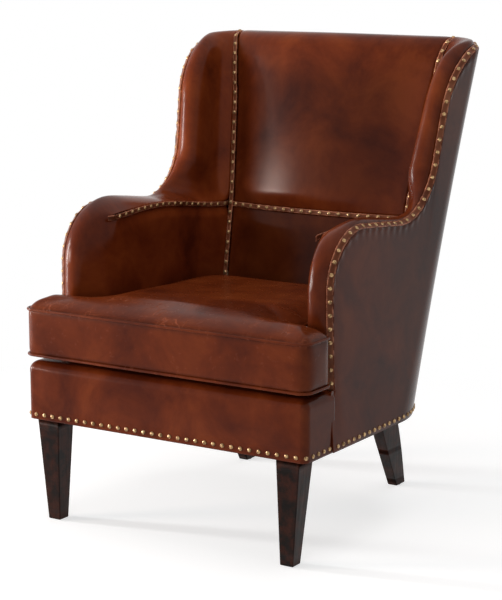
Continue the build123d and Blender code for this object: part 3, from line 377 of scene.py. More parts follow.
def leather(name, deep, middle, bright, roughness=0.23, creases=0.0):
    """Waxed, polished hide: cloudy colour, fine grain and soft gloss, paler where it is rubbed or creased or
    where a painted highlight is marked as wear, and scaled darker or paler by a painted shade attribute.
    """
    material, tree, shader, place = new_finish(name)
    clouds = add(tree, "TexNoise", scale=7.0, detail=6.0, roughness=0.6, distortion=0.4)
    specks = add(tree, "TexNoise", scale=60.0, detail=5.0, roughness=0.65)
    join(tree, place, "Object", clouds, "Vector")
    join(tree, place, "Object", specks, "Vector")
    blend = add(tree, "Mix", data_type="FLOAT", blend_type="MIX")
    blend.inputs[0].default_value = 0.1
    join(tree, clouds, "Fac", blend, 2)
    join(tree, specks, "Fac", blend, 3)
    tone = ramp(tree, (0.34, deep), (0.5, middle), (0.68, bright))
    join(tree, blend, 0, tone, "Fac")
    # Painted light and shade: the shade attribute scales the colour by 1 - 0.5 x shade. It is darker where
    # shade is above 0 and paler where it is below 0.
    shade = add(tree, "Attribute", attribute_name="shade")
    depth = add(tree, "MapRange", clamp=False)
    depth.inputs["To Min"].default_value = 1.0
    depth.inputs["To Max"].default_value = 0.5
    join(tree, shade, "Fac", depth, "Value")
    painted_shade_colour = add(tree, "VectorMath", operation="SCALE")
    join(tree, tone, "Color", painted_shade_colour, 0)
    join(tree, depth, "Result", painted_shade_colour, "Scale")
    # Paler where the wear attribute is set. It is real rubbing, and on the cushion welts and trim band edges
    # it is also a painted highlight.
    wear = add(tree, "Attribute", attribute_name="wear")
    patchy = add(tree, "Math", operation="MULTIPLY")
    join(tree, wear, "Fac", patchy, 0)
    broken = ramp(tree, (0.38, grey(0.0)), (0.62, grey(1.0)))
    join(tree, specks, "Fac", broken, "Fac")
    join(tree, broken, "Color", patchy, 1)
    rubbed = add(tree, "Mix", data_type="RGBA", blend_type="MIX")
    join(tree, patchy, 0, rubbed, 0)
    join(tree, painted_shade_colour, "Vector", rubbed, 6)
    rubbed.inputs[7].default_value = (*[min(1.0, value * 2.6 + 0.02) for value in bright], 1.0)
    last = rubbed.outputs[2]
    grain = add(tree, "TexNoise", scale=330.0, detail=2.0)
    join(tree, place, "Object", grain, "Vector")
    fine = add(tree, "TexNoise", scale=120.0, detail=3.0)
    join(tree, place, "Object", fine, "Vector")
    relief = add(tree, "Bump", strength=0.03, distance=0.0006)
    join(tree, grain, "Fac", relief, "Height")
    ripple = add(tree, "Bump", strength=0.035, distance=0.0012)
    join(tree, fine, "Fac", ripple, "Height")
    join(tree, relief, "Normal", ripple, "Normal")
    normal = ripple
    if creases:
        warp = add(tree, "TexNoise", scale=9.0, detail=3.0)
        join(tree, place, "Object", warp, "Vector")
        bent = add(tree, "Mix", data_type="VECTOR")
        bent.inputs[0].default_value = 0.16
        join(tree, place, "Object", bent, 4)
        join(tree, warp, "Color", bent, 5)
        cracks = add(tree, "TexVoronoi", feature="DISTANCE_TO_EDGE", scale=27.0)
        join(tree, bent, 1, cracks, "Vector")
        lines = ramp(tree, (0.0, grey(1.0)), (0.035, grey(0.0)))
        join(tree, cracks, "Distance", lines, "Fac")
        zone = add(tree, "Attribute", attribute_name="crease")
        some = ramp(tree, (0.5, grey(0.0)), (0.62, grey(1.0)))
        join(tree, clouds, "Fac", some, "Fac")
        chosen = add(tree, "Math", operation="MULTIPLY")
        join(tree, lines, "Color", chosen, 0)
        join(tree, zone, "Fac", chosen, 1)
        sparse = add(tree, "Math", operation="MULTIPLY")
        join(tree, chosen, 0, sparse, 0)
        join(tree, some, "Color", sparse, 1)
        paler = add(tree, "Mix", data_type="RGBA", blend_type="MIX")
        amount = add(tree, "Math", operation="MULTIPLY")
        join(tree, sparse, 0, amount, 0)
        amount.inputs[1].default_value = creases
        join(tree, amount, 0, paler, 0)
        tree.links.new(last, paler.inputs[6])
        paler.inputs[7].default_value = (*[min(1.0, value * 3.2 + 0.03) for value in bright], 1.0)
        last = paler.outputs[2]
        dent = add(tree, "Bump", strength=0.5, distance=0.0012, invert=True)
        join(tree, sparse, 0, dent, "Height")
        join(tree, ripple, "Normal", dent, "Normal")
        normal = dent
    tree.links.new(last, shader.inputs["Base Color"])
    join(tree, normal, "Normal", shader, "Normal")
    gloss = ramp(tree, (0.3, grey(roughness - 0.015)), (0.7, grey(roughness + 0.02)))
    join(tree, specks, "Fac", gloss, "Fac")
    join(tree, gloss, "Color", shader, "Roughness")
    shader.inputs["Specular IOR Level"].default_value = 0.1
    return material


def antique_brass():
    """Aged nail heads: dull gold mottled at random with brown."""
    material, tree, shader, place = new_finish("antique_brass")
    spots = add(tree, "TexNoise", scale=240.0, detail=4.0)
    join(tree, place, "Object", spots, "Vector")
    tone = ramp(tree, (0.36, (0.15, 0.085, 0.034)), (0.52, (0.44, 0.27, 0.12)), (0.68, (0.72, 0.49, 0.25)))
    join(tree, spots, "Fac", tone, "Fac")
    join(tree, tone, "Color", shader, "Base Color")
    gloss = ramp(tree, (0.35, grey(0.5)), (0.65, grey(0.32)))
    join(tree, spots, "Fac", gloss, "Fac")
    join(tree, gloss, "Color", shader, "Roughness")
    relief = add(tree, "Bump", strength=0.15, distance=0.0004)
    join(tree, spots, "Fac", relief, "Height")
    join(tree, relief, "Normal", shader, "Normal")
    shader.inputs["Metallic"].default_value = 0.6
    return material


def wood(name, dark, light, rub, roughness):
    """Stained wood: grain streaks up the piece, and the stain rubbed through to red-brown on worn edges."""
    material, tree, shader, place = new_finish(name)
    stretch = add(tree, "Mapping", vector_type="POINT")
    stretch.inputs["Scale"].default_value = (1.0, 1.0, 0.05)
    join(tree, place, "Object", stretch, "Vector")
    streaks = add(tree, "TexNoise", scale=170.0, detail=6.0, roughness=0.6, distortion=0.5)
    join(tree, stretch, "Vector", streaks, "Vector")
    tone = ramp(tree, (0.38, dark), (0.66, light))
    join(tree, streaks, "Fac", tone, "Fac")
    wear = add(tree, "Attribute", attribute_name="wear")
    blotch = add(tree, "TexNoise", scale=38.0, detail=6.0, roughness=0.7)
    join(tree, place, "Object", blotch, "Vector")
    edge = ramp(tree, (0.42, grey(0.0)), (0.62, grey(1.0)))
    join(tree, blotch, "Fac", edge, "Fac")
    amount = add(tree, "Math", operation="MULTIPLY")
    join(tree, wear, "Fac", amount, 0)
    join(tree, edge, "Color", amount, 1)
    rubbed = add(tree, "Mix", data_type="RGBA", blend_type="MIX")
    join(tree, amount, 0, rubbed, 0)
    join(tree, tone, "Color", rubbed, 6)
    rubbed.inputs[7].default_value = (*rub, 1.0)
    join(tree, rubbed, 2, shader, "Base Color")
    relief = add(tree, "Bump", strength=0.12, distance=0.0008)
    join(tree, streaks, "Fac", relief, "Height")
    join(tree, relief, "Normal", shader, "Normal")
    gloss = ramp(tree, (0.3, grey(roughness - 0.06)), (0.7, grey(roughness + 0.1)))
    join(tree, streaks, "Fac", gloss, "Fac")
    join(tree, gloss, "Color", shader, "Roughness")
    shader.inputs["Specular IOR Level"].default_value = 0.1
    return material


def woven(name, dark, light, pitch):
    """Plain weave cloth, with threads a given pitch apart."""
    material, tree, shader, place = new_finish(name)
    warp = add(tree, "TexWave", wave_type="BANDS", bands_direction="X", scale=pi / pitch / 10)
    weft = add(tree, "TexWave", wave_type="BANDS", bands_direction="Y", scale=pi / pitch / 10)
    join(tree, place, "Object", warp, "Vector")
    join(tree, place, "Object", weft, "Vector")
    over = add(tree, "Math", operation="MAXIMUM")
    join(tree, warp, "Fac", over, 0)
    join(tree, weft, "Fac", over, 1)
    tone = ramp(tree, (0.4, dark), (1.0, light))
    join(tree, over, 0, tone, "Fac")
    join(tree, tone, "Color", shader, "Base Color")
    relief = add(tree, "Bump", strength=0.4, distance=0.0005)
    join(tree, over, 0, relief, "Height")
    join(tree, relief, "Normal", shader, "Normal")
    shader.inputs["Roughness"].default_value = 0.9
    return material


def spring_steel():
    material, tree, shader, place = new_finish("spring_steel")
    film = add(tree, "TexNoise", scale=90.0, detail=4.0)
    join(tree, place, "Object", film, "Vector")
    tone = ramp(tree, (0.35, (0.16, 0.16, 0.17)), (0.65, (0.36, 0.36, 0.38)))
    join(tree, film, "Fac", tone, "Fac")
    join(tree, tone, "Color", shader, "Base Color")
    gloss = ramp(tree, (0.35, grey(0.3)), (0.65, grey(0.5)))
    join(tree, film, "Fac", gloss, "Fac")
    join(tree, gloss, "Color", shader, "Roughness")
    shader.inputs["Metallic"].default_value = 1.0
    return material


def moulded_plastic():
    material, tree, shader, place = new_finish("glide_plastic")
    scuffs = add(tree, "TexNoise", scale=200.0, detail=5.0)
    join(tree, place, "Object", scuffs, "Vector")
    tone = ramp(tree, (0.4, grey(0.015)), (0.7, grey(0.05)))
    join(tree, scuffs, "Fac", tone, "Fac")
    join(tree, tone, "Color", shader, "Base Color")
    shader.inputs["Roughness"].default_value = 0.55
    return material


HIDE_DEEP = (0.058, 0.0090, 0.0026)
HIDE_MIDDLE = (0.108, 0.0185, 0.0043)
HIDE_BRIGHT = (0.165, 0.0330, 0.0075)
hide = leather("brown_hide", HIDE_DEEP, HIDE_MIDDLE, HIDE_BRIGHT)
creased_hide = leather("creased_hide", HIDE_DEEP, HIDE_MIDDLE, HIDE_BRIGHT, roughness=0.26, creases=0.3)
trim_hide = leather("trim_hide", (0.075, 0.019, 0.008), (0.14, 0.041, 0.018), (0.23, 0.085, 0.045),
                    roughness=0.32)
nail_finish = antique_brass()
leg_finish = wood("dark_leg_wood", (0.0045, 0.003, 0.0026), (0.011, 0.006, 0.0045),
                  (0.055, 0.014, 0.007), 0.42)
frame_finish = wood("frame_wood", (0.30, 0.18, 0.09), (0.52, 0.36, 0.20), (0.56, 0.42, 0.26), 0.6)
dust_cloth = woven("dust_cloth", grey(0.008), grey(0.03), 0.0012)
strap_cloth = woven("strap_cloth", (0.16, 0.11, 0.06), (0.34, 0.25, 0.15), 0.0022)
tape_cloth = woven("zip_tape_cloth", (0.022, 0.010, 0.006), (0.05, 0.024, 0.014), 0.0009)
steel = spring_steel()
plastic = moulded_plastic()


def mark(sheet, name, amount):
    """Writes an amount on each vertex, for the finishes to read."""
    layer = sheet.verts.layers.float.get(name) or sheet.verts.layers.float.new(name)
    for vert in sheet.verts:
        vert[layer] = amount(vert.co)


# Outside covers
def outside_side():
    """Right outside cover: from the side seam and outer trim round to the back seam."""
    edge = edge_line(COVER_INSET)
    front = SIDE_SEAM_DEPTH - 2.0
    top = [(run_at(front, APRON_TOP), APRON_TOP)]
    top += [(run_at(point.x, point.y), point.y) for point in edge.points]
    level = top[-1][1]
    top += [(mix(top[-1][0], BACK_SEAM, step / 10), level) for step in range(1, 11)]
    upper = Track([(run, height, 0) for run, height in top])
    lower = Track([(run_at(front, LEG_HEIGHT), LEG_HEIGHT, 0), (BACK_SEAM, LEG_HEIGHT, 0)])
    trimmed = edge.length / upper.length

    def place(share, rise):
        here = lower.at(share).lerp(upper.at(share), rise)
        drop = (1 - rise) * (upper.at(share) - lower.at(share)).length
        bulge = 1.2 * sin(pi * rise) * ease(share / 0.12) * ease((1 - share) / 0.1)
        seam = ease((here.x - BACK_SEAM) / 12.0)
        pull = 0.7 * cos(2 * pi * share * upper.length / EDGE_PITCH) * ease(1 - drop / 22.0)
        lip = 1.6 * ease(1 - drop / 5.0)
        out = bulge - 2.5 * (1 - seam) + (pull + lip if share < trimmed else 0.0)
        return outside_spot(here.x, here.y, out)

    sheet = net(420, 44, place)
    # Painted shade: the cover is darkened towards its rear and painted slightly paler at its front.
    mark(sheet, "shade", lambda at: 0.7 * ease((at.y / MM + MIDDLE_DEPTH - 200.0) / 320.0) - 0.1)
    return sheet


def outside_back():
    """Cover across the outside back, between its two seams."""
    high = EDGE_END_HEIGHT - COVER_INSET

    def place(share, rise):
        run = mix(-BACK_SEAM, BACK_SEAM, share)
        height = mix(LEG_HEIGHT, high, rise)
        seam = ease((BACK_SEAM - abs(run)) / 12.0)
        bulge = 5.0 * sin(pi * rise) * ease(1 - abs(run) / BACK_SEAM)
        return outside_spot(run, height, bulge - 2.5 * (1 - seam))

    return net(60, 80, place, flip=True)


# Arm and wing upholstery
NOSE_STEPS = 26
NOSE_LENGTH = 98.0
JOIN_HEIGHT = 650.0


def arm_plan(height):
    """Plan of the right inside arm at a height: round its front, along it and into the back corner."""
    edge = arm_front(height)
    outer = half_width(height)
    back = inside_back(height)
    seam, seam_depth = seam_place(height)
    return Track(rounded([
        (outer - NAIL_INSET, edge),
        (outer - 24.0, edge - NOSE_DEPTH),
        (outer - 50.0, edge - NOSE_DEPTH),
        (SEAT_HALF_WIDTH, edge - NOSE_DEPTH + NOSE_RUN),
        (SEAT_HALF_WIDTH, back - BACK_CORNER_RUN),
        (seam + HALF_GAP, seam_depth),
    ], [40.0, 22.0, 60.0, 60.0], step=2.0))


def arm_rise(share):
    """Rise of the level seam along the arm, from the arm's front to the back corner."""
    return ARM_SEAM_RISE * mix(0.68, 1.0, ease(share / 0.35)) * (1 - ease((share - 0.4) / 0.6))


def inside_arm():
    """Lower part of the right arm's upholstery."""
    low = APRON_TOP - 6.0
    columns = 110
    rows = 60
    plans = {}

    def place(share, rise):
        index = round(share * columns)
        seam = ease((index - NOSE_STEPS) / 12.0)
        level = SEAM_HEIGHT + arm_rise((index - NOSE_STEPS) / (columns - NOSE_STEPS))
        high = JOIN_HEIGHT - (JOIN_HEIGHT - level + HALF_GAP) * seam
        height = mix(low, high, rise)
        key = round(height, 3)
        if key not in plans:
            plans[key] = arm_plan(height)
        plan = plans[key]
        if index <= NOSE_STEPS:
            run = NOSE_LENGTH * index / NOSE_STEPS
        else:
            run = mix(NOSE_LENGTH, plan.length, (index - NOSE_STEPS) / (columns - NOSE_STEPS))
        here = plan.along(run)
        travel = (plan.along(run + 1.5) - plan.along(run - 1.5)).normalized()
        inward = Vector((travel.y, -travel.x, 0))
        dip = (ARM_DIP + 2.0) * seam * ease(1 - (high - height) / 26.0)
        puff = 6.0 * seam * sin(pi * min(1.0, (height - 420.0) / (high - 420.0))) if height > 420.0 else 0.0
        puff *= ease((plan.length - run) / 90.0)
        here = here - inward * (puff - dip)
        return spot(here.x, here.y, height)

    return net(columns, rows, place, flip=True)


def over_crest(half_gap, lift):
    """Line of the right upright seam on the face of the back and over the crest, beside the seam's middle."""
    face = []
    for height in range(700, 1001, 20):
        across, depth = seam_place(height)
        face.append(Vector((across + half_gap, depth - lift, height)))
    crest = CREST_FRONT - 1.5 + lift
    across, depth = seam_place(crest)
    across += half_gap
    rear = (across, REAR_MOST - 6.0, CREST_REAR - 1.5 + lift)
    return face[:-1] + rounded([face[-1], (across, depth - lift, crest), rear], [38.0])


def inner_line():
    """Inner edge of the right wing: along the arm, up the back seam and over the crest."""
    low = SEAM_HEIGHT + HALF_GAP
    seam, seam_depth = seam_place(low)
    start = arm_plan(JOIN_HEIGHT).along(NOSE_LENGTH)
    plan = arm_plan(SEAM_HEIGHT)
    line = [Vector((start.x, start.y, JOIN_HEIGHT))]
    for step in range(3, 37):
        run = mix(NOSE_LENGTH, plan.length, step / 40)
        here = plan.along(run)
        travel = (plan.along(run + 4.0) - plan.along(run - 4.0)).normalized()
        sunk = ARM_DIP * ease((run - NOSE_LENGTH) / 40.0)
        line.append(Vector((here.x + travel.y * sunk, here.y - travel.x * sunk, low + arm_rise(step / 40))))
    upward = over_crest(HALF_GAP, 0.0)
    corner = rounded([line[-1], (seam + HALF_GAP, seam_depth, low), upward[0]], [25.0])
    return Track(line[:-1] + corner[:-1] + upward)


def edge_share_at(height):
    """Share of the outer edge at which the arm's front reaches a height."""
    low, high = 0.0, 0.4
    for _ in range(40):
        middle = (low + high) / 2
        if EDGE.at(middle).y < height and EDGE.at(middle).x < ARM_SETBACK + ARM_FRONT_RADIUS:
            low = middle
        else:
            high = middle
    return low


def roll_height(across, crown, hollow):
    """Height of the padded roll over its chord: domed on the arm, hollow then steep on the wing."""
    peak = mix(0.845, 0.78, hollow)
    if across > peak:
        return crown * sqrt(max(0.0, 1 - ((across - peak) / (1 - peak)) ** 2))
    dome = crown * sin(pi / 2 * across / peak)
    sunk = 6.0
    cupped = (crown + sunk) * ease((across - 0.22) / (peak - 0.22)) - sunk * ease(across / 0.22)
    return mix(dome, cupped, hollow)


def wing_roll():
    """Upper part: over the arm's top, up the wing and round the top corner in one roll."""
    inner = inner_line()
    first = edge_share_at(JOIN_HEIGHT)
    blend = 0.13
    tuck_from = 0.98
    sections = {}

    def ends(share):
        roll_end, _ = edge_ends(mix(first, 1.0, share))
        return inner.at(share), roll_end

    def section(share):
        if share not in sections:
            start, end = ends(share)
            before = ends(max(0.0, share - 0.02))
            after = ends(min(1.0, share + 0.02))
            travel = (after[1] - before[1]).normalized() + (after[0] - before[0]).normalized()
            normal = (end - start).cross(travel).normalized()
            crest_like = 1 - ease((1 - share) / 0.17)
            arm_crown = mix(14.0, 7.0, ease((share - 0.1) / 0.2))
            wing_crown = mix(46.0, 34.0, min(max((end.z - 700.0) / 200.0, 0.0), 1.0))
            crown = mix(mix(arm_crown, wing_crown, ease((share - 0.385) / 0.17)), 4.0, crest_like)
            hollow = ease((share - 0.385) / 0.17) * (1 - crest_like)
            sections[share] = (start, end, normal, crown, hollow)
        return sections[share]

    def place(share, over):
        tuck = max(0.0, share - tuck_from) / (1 - tuck_from)
        share = min(1.0, share / tuck_from)
        start, end, normal, crown, hollow = section(share)
        across = 1 - (1 - over) ** 1.3
        here = start.lerp(end, across) + normal * roll_height(across, crown, hollow)
        if share < blend:
            height = mix(start.z, end.z, over)
            nose = arm_plan(height).along(NOSE_LENGTH * (1 - over))
            here = Vector((nose.x, nose.y, height)).lerp(here, ease(share / blend))
        return spot(here.x, here.y + tuck, here.z - 28.0 * tuck)

    return net(200, NOSE_STEPS, place, flip=True)


def arm_and_wing():
    """The right arm's and wing's upholstery: both parts joined round the arm's front."""
    sheet = inside_arm()
    take_in(sheet, wing_roll())
    bmesh.ops.remove_doubles(sheet, verts=sheet.verts, dist=0.0002)
    low = spot(0, 0, 560.0).z
    rear = spot(0, 330.0, 0).y
    open_verts = {vert for edge in sheet.edges if edge.is_boundary for vert in edge.verts}
    loose = [vert for vert in sheet.verts if vert.co.z > low and vert.co.y < rear and vert not in open_verts]
    for _ in range(10):
        soften(sheet, loose)
    return sheet


# Back upholstery
def back_panel(section, side, rows, puff):
    """Panel between the upright seams: its middle section and its side line in one pillow."""
    line = Track(section)
    edge = Track(side)

    def reach(track, column):
        past = (run for point, run in zip(track.points, track.marks) if point[column] > CREST_BEND)
        return next(past, track.length)

    face, edge_face = reach(line, 1), reach(edge, 2)

    def place(share, rise):
        across = 2 * share - 1
        run = rise * line.length
        here = line.along(run)
        if run < face:
            beside = edge.along(run * edge_face / face)
        else:
            over = (run - face) / max(line.length - face, 1.0)
            beside = edge.along(mix(edge_face, edge.length, over))
        on_face = 1 - ease((here.y - 1000.0) / 30.0)
        swell = puff * sin(pi * min(run / face, 1.0)) * (1 - across ** 2)
        lip = 1.2 * (1 - ease((1 - abs(across)) / 0.06))
        bent = Vector((here.x, here.y)).lerp(Vector((beside.y, beside.z)), abs(across) ** 2.3)
        return spot(across * beside.x, bent.x - swell + lip * on_face, bent.y - lip * (1 - on_face))

    sheet = net(70, rows, place)
    low, high = section[0].y, CREST_BEND

    # Painted shade: darker across the middle of the back between the wings, fading towards the seams, the
    # bottom and the crest.
    def shade(at):
        rise = (at.z / MM - low) / (high - low)
        return 0.85 * ease((1 - abs(at.x) / 0.27) / 0.5) * ease(rise / 0.2) * ease((1.06 - rise) / 0.3)

    mark(sheet, "shade", shade)
    return sheet


def beside_seam(low, high):
    """Side line of a back panel, up the face of the back."""
    points = []
    for step in range(16):
        height = mix(low, high, step / 15)
        across, depth = seam_place(height)
        points.append((across - HALF_GAP, depth, height))
    return points


def upper_back():
    low = SEAM_HEIGHT + HALF_GAP
    roll = low + 30.0
    behind = [(REAR_MOST - 0.5, EDGE_END_HEIGHT - 8.0), (REAR_MOST - 8.0, EDGE_END_HEIGHT - 20.0)]
    section = rounded([
        (inside_back(low) + SEAM_DIP, low),
        (inside_back(roll), roll),
        (inside_back(CREST_FRONT), CREST_FRONT),
        (REAR_MOST, CREST_REAR),
        *behind,
    ], [60.0, 45.0, 8.0, 2.0])
    over = over_crest(-HALF_GAP, 0.0)
    side = beside_seam(low, 695.0) + over + [(over[-1].x, depth, height) for depth, height in behind]
    return back_panel(section, side, 120, 7.0)


def lower_back():
    low = APRON_TOP - 6.0
    high = SEAM_HEIGHT - HALF_GAP
    roll = high - 30.0
    section = rounded([
        (inside_back(low), low),
        (inside_back(roll), roll),
        (inside_back(high) + SEAM_DIP, high),
    ], [60.0])
    return back_panel(section, beside_seam(low, high), 70, 0.0)


# Apron, deck and dust cover
def box_loop(half, front, rear, corner):
    """Plan of the apron: along the right side, round the front and back along the left side."""
    corners = [(half, rear), (half, front), (-half, front), (-half, rear)]
    return Track(rounded(corners, [corner, corner], step=1.0))


def apron():
    """Front border: round its corners, over its top edge and in under the cushion."""
    side = Track(rounded([(0, LEG_HEIGHT - 1.0), (0, APRON_TOP), (66.0, APRON_TOP)], [20.0], step=1.5))
    loops = {}

    def place(share, rise):
        here = side.at(rise)
        inset = here.x
        if inset not in loops:
            radius = max(16.0 - 0.6 * inset, 3.0)
            loops[inset] = box_loop(APRON_HALF_WIDTH - inset, inset, SIDE_SEAM_DEPTH + 10.0, radius)
        point = loops[inset].at(share)
        height = here.y
        face = sin(pi * min(max((height - 252.0) / (APRON_TOP - 252.0), 0.0), 1.0))
        forward = ease((20.0 - point.y) / 20.0) * ease((APRON_HALF_WIDTH - abs(point.x)) / 70.0)
        puff = 4.0 * face * forward
        corner = hypot(abs(point.x) - APRON_HALF_WIDTH, point.y)
        tuck = 1.5 * ease(1 - corner / 24.0) * ease(1 - abs(height - 345.0) / 26.0)
        tuck *= cos(atan2(point.y, APRON_HALF_WIDTH - abs(point.x)) * 10 + height * 0.25)
        lead = Vector((point.x, point.y - 60.0, 0)).normalized()
        return spot(point.x + lead.x * tuck, point.y - puff + lead.y * tuck, height)

    return net(300, 54, place, flip=True)


def seat_deck():
    """Padded deck that the loose cushion lies on."""
    def place(share, rise):
        across = mix(-254.0, 254.0, share)
        depth = mix(66.0, 537.0, rise)
        edge = min(254.0 - abs(across), depth - 66.0, 537.0 - depth)
        return spot(across, depth, 346.0 + 8.0 * ease(edge / 60.0))

    return net(40, 40, place)


def dust_sheet():
    """Cloth stapled under the seat, sagging a little between the rails."""
    def place(share, rise):
        depth = mix(14.0, rear_face(LEG_HEIGHT) - 14.0, rise)
        half = half_width(LEG_HEIGHT) - 14.0 if depth > SIDE_SEAM_DEPTH else APRON_HALF_WIDTH - 14.0
        radius = corner_radius(LEG_HEIGHT) - 14.0
        past = max(0.0, depth - (rear_face(LEG_HEIGHT) - 14.0 - radius))
        half += sqrt(max(0.0, radius ** 2 - past ** 2)) - radius
        across = half * (2 * share - 1)
        return spot(across, depth, 227.4 - 3.0 * sin(pi * share) * sin(pi * rise))

    return net(40, 40, place, flip=True)


# Trim bands and nails
def band(frames, width, pitch_count, lift=0.4, puff=1.3):
    """Leather strip along frames of centre, normal and side, puffed between its nails, with turned edges."""
    rubbed = []

    def place(share, across):
        centre, normal, side = frames[round(share * (len(frames) - 1))]
        from_middle = 2 * across - 1
        # Paler turned edges: rubbed wear, and also a painted highlight along the folds.
        rubbed.append(0.75 * ease((abs(from_middle) - 0.5) / 0.3))
        nails = 0.5 - 0.5 * cos(2 * pi * (share * pitch_count))
        dome = 1 - from_middle ** 4
        turned = 0.5 * ease((abs(from_middle) - 0.6) / 0.25)
        rise = lift + dome * (0.8 + puff * nails) + turned * (1 - dome * 0.3)
        slim = 1 - 0.06 * (1 - nails)
        here = centre + side * (from_middle * width / 2 * slim) + normal * rise
        return spot(*here)

    strip = net(len(frames) - 1, 10, place)
    wear = strip.verts.layers.float.new("wear")
    for vert, amount in zip(strip.verts, rubbed):
        vert[wear] = amount
    return strip


def facing(sheet, normal_at):
    """Turns a strip's faces the way that its middle frame faces."""
    sheet.normal_update()
    sheet.faces.ensure_lookup_table()
    face = sheet.faces[len(sheet.faces) // 2]
    if face.normal.dot(normal_at) < 0:
        bmesh.ops.reverse_faces(sheet, faces=sheet.faces)
    return sheet


def edge_frame(share):
    """Centre of the outer trim, its outward normal and the direction across it."""
    roll_end, cover_end = edge_ends(share)
    ahead = sum(edge_ends(min(1.0, share + 0.004)), Vector((0, 0, 0)))
    behind = sum(edge_ends(max(0.0, share - 0.004)), Vector((0, 0, 0)))
    side = (cover_end - roll_end).normalized()
    normal = side.cross((ahead - behind).normalized()).normalized()
    return (roll_end + cover_end) / 2, normal, side


def nail_head():
    """Domed head of an upholstery nail, a few dozen faces."""
    head = bmesh.new()
    bmesh.ops.create_uvsphere(head, u_segments=10, v_segments=8, radius=1.0)
    rest = [*head.verts, *head.edges, *head.faces]
    bmesh.ops.bisect_plane(head, geom=rest, plane_co=(0, 0, -0.02), plane_no=(0, 0, -1), clear_outer=True)
    bmesh.ops.scale(head, vec=(NAIL_RADIUS * MM, NAIL_RADIUS * MM, 3.3 * MM), verts=head.verts)
    made = bpy.data.meshes.new("nail_head")
    head.to_mesh(made)
    head.free()
    return made


NAIL = nail_head()


def nails(frames, lift):
    """Nails on frames, in one sheet."""
    sheet = bmesh.new()
    for index, (centre, normal, side) in enumerate(frames):
        count = len(sheet.verts)
        sheet.from_mesh(NAIL)
        sheet.verts.ensure_lookup_table()
        turn = Matrix((side, normal.cross(side), normal)).transposed().to_4x4()
        tilt = Matrix.Rotation(radians(4.0 * noise.noise(Vector((index * 1.7, 3.1, 0.4)))), 4, "X")
        there = Matrix.Translation(spot(*(centre + normal * lift))) @ turn @ tilt
        bmesh.ops.transform(sheet, matrix=there, verts=sheet.verts[count:])
    return sheet


def evenly(length, pitch):
    count = max(2, round(length / pitch))
    return count, [(index + 0.5) / count for index in range(count)]


def edge_trim():
    count, shares = evenly(EDGE.length, EDGE_PITCH)
    steps = count * 12
    frames = [edge_frame(index / steps) for index in range(steps + 1)]
    strip = facing(band(frames, 15.5, count), frames[steps // 2][1])
    return strip, nails([edge_frame(share) for share in shares], 1.2)


def frames_along(points, steps, out):
    """Frames along a line, with normals that face the way a function of the place says."""
    line = Track(points)
    made = []
    for index in range(steps + 1):
        here = line.at(index / steps)
        travel = line.heading(index / steps, 4.0)
        side = out(here).cross(travel).normalized()
        made.append((here, travel.cross(side), side))
    return made


def inside_trim():
    """Bands and nails of the upright and level inside seams."""
    lift = 1.5
    faces = []
    for height in range(460, 700, 20):
        across, depth = seam_place(height)
        faces.append(Vector((across, depth - lift, height)))
    upright = list(faces)
    for here in over_crest(0.0, lift)[:-1]:
        upright.append(here - Vector((0, 0, 3.5)) * ease((here.z - 1010.0) / 26.0))
    half = seam_place(SEAM_HEIGHT)[0]
    level = []
    for index in range(81):
        across = index / 40 - 1
        bow = (sink(SEAM_HEIGHT) - SEAM_DIP) * abs(across) ** 2.3
        depth = inside_back(SEAM_HEIGHT) + SEAM_DIP + bow - lift
        level.append(Vector((across * (half - 4.0), depth, SEAM_HEIGHT)))
    plan = arm_plan(SEAM_HEIGHT)
    arm = []
    for index in range(201):
        run = mix(NOSE_LENGTH + 2.0, plan.length - 2.0, index / 200)
        here = plan.along(run)
        travel = (plan.along(run + 4.0) - plan.along(run - 4.0)).normalized()
        sunk = (ARM_DIP - 1.0) * ease((run - NOSE_LENGTH) / 40.0)
        height = SEAM_HEIGHT + arm_rise((run - NOSE_LENGTH) / (plan.length - NOSE_LENGTH))
        arm.append(Vector((here.x + travel.y * sunk, here.y - travel.x * sunk, height)))
    strips = []
    heads = []

    def lay(points, out, first=0):
        count, shares = evenly(Track(points).length, INSIDE_PITCH)
        frames = frames_along(points, count * 12, out)
        strips.append(facing(band(frames, 11.5, count), frames[len(frames) // 2][1]))
        heads.extend(frames[round(share * count * 12)] for share in shares[first:])

    for sign in (-1, 1):
        flipped = Vector((sign, 1, 1))
        lay([point * flipped for point in upright],
            lambda here: Vector((0, -1, 0.1 + 40 * (here.z > 1030.0))))
        lay([point * flipped for point in arm], lambda here: Vector((-here.x, 300.0 - here.y, 0)), first=1)
    lay(level, lambda here: Vector((0, -1, 0.2)))
    whole = strips.pop()
    for strip in strips:
        take_in(whole, strip)
    return whole, nails(heads, 1.2)


def skirt_nails():
    """Nails along the lower edge, all the way round."""
    heads = []
    loop = box_loop(APRON_HALF_WIDTH, 0.0, SIDE_SEAM_DEPTH, 16.0)
    for share in evenly(loop.length, SKIRT_PITCH)[1]:
        travel = loop.heading(share)
        here = loop.at(share)
        normal = Vector((-travel.y, travel.x, 0))
        if normal.dot(Vector((here.x, here.y - 60.0, 0))) < 0:
            normal = -normal
        heads.append((Vector((here.x, here.y, SKIRT_NAIL_HEIGHT)), normal, Vector((0, 0, 1))))
    far = run_at(SIDE_SEAM_DEPTH + 6.0, SKIRT_NAIL_HEIGHT)
    for share in evenly(2 * far, SKIRT_PITCH)[1]:
        run = mix(-far, far, share)
        here = outside_spot(run, SKIRT_NAIL_HEIGHT) / MM + Vector((0, MIDDLE_DEPTH, 0))
        outer = outside_spot(run, SKIRT_NAIL_HEIGHT, 1.0) / MM + Vector((0, MIDDLE_DEPTH, 0))
        heads.append((here, (outer - here).normalized(), Vector((0, 0, 1))))
    return nails(heads, 0.2)


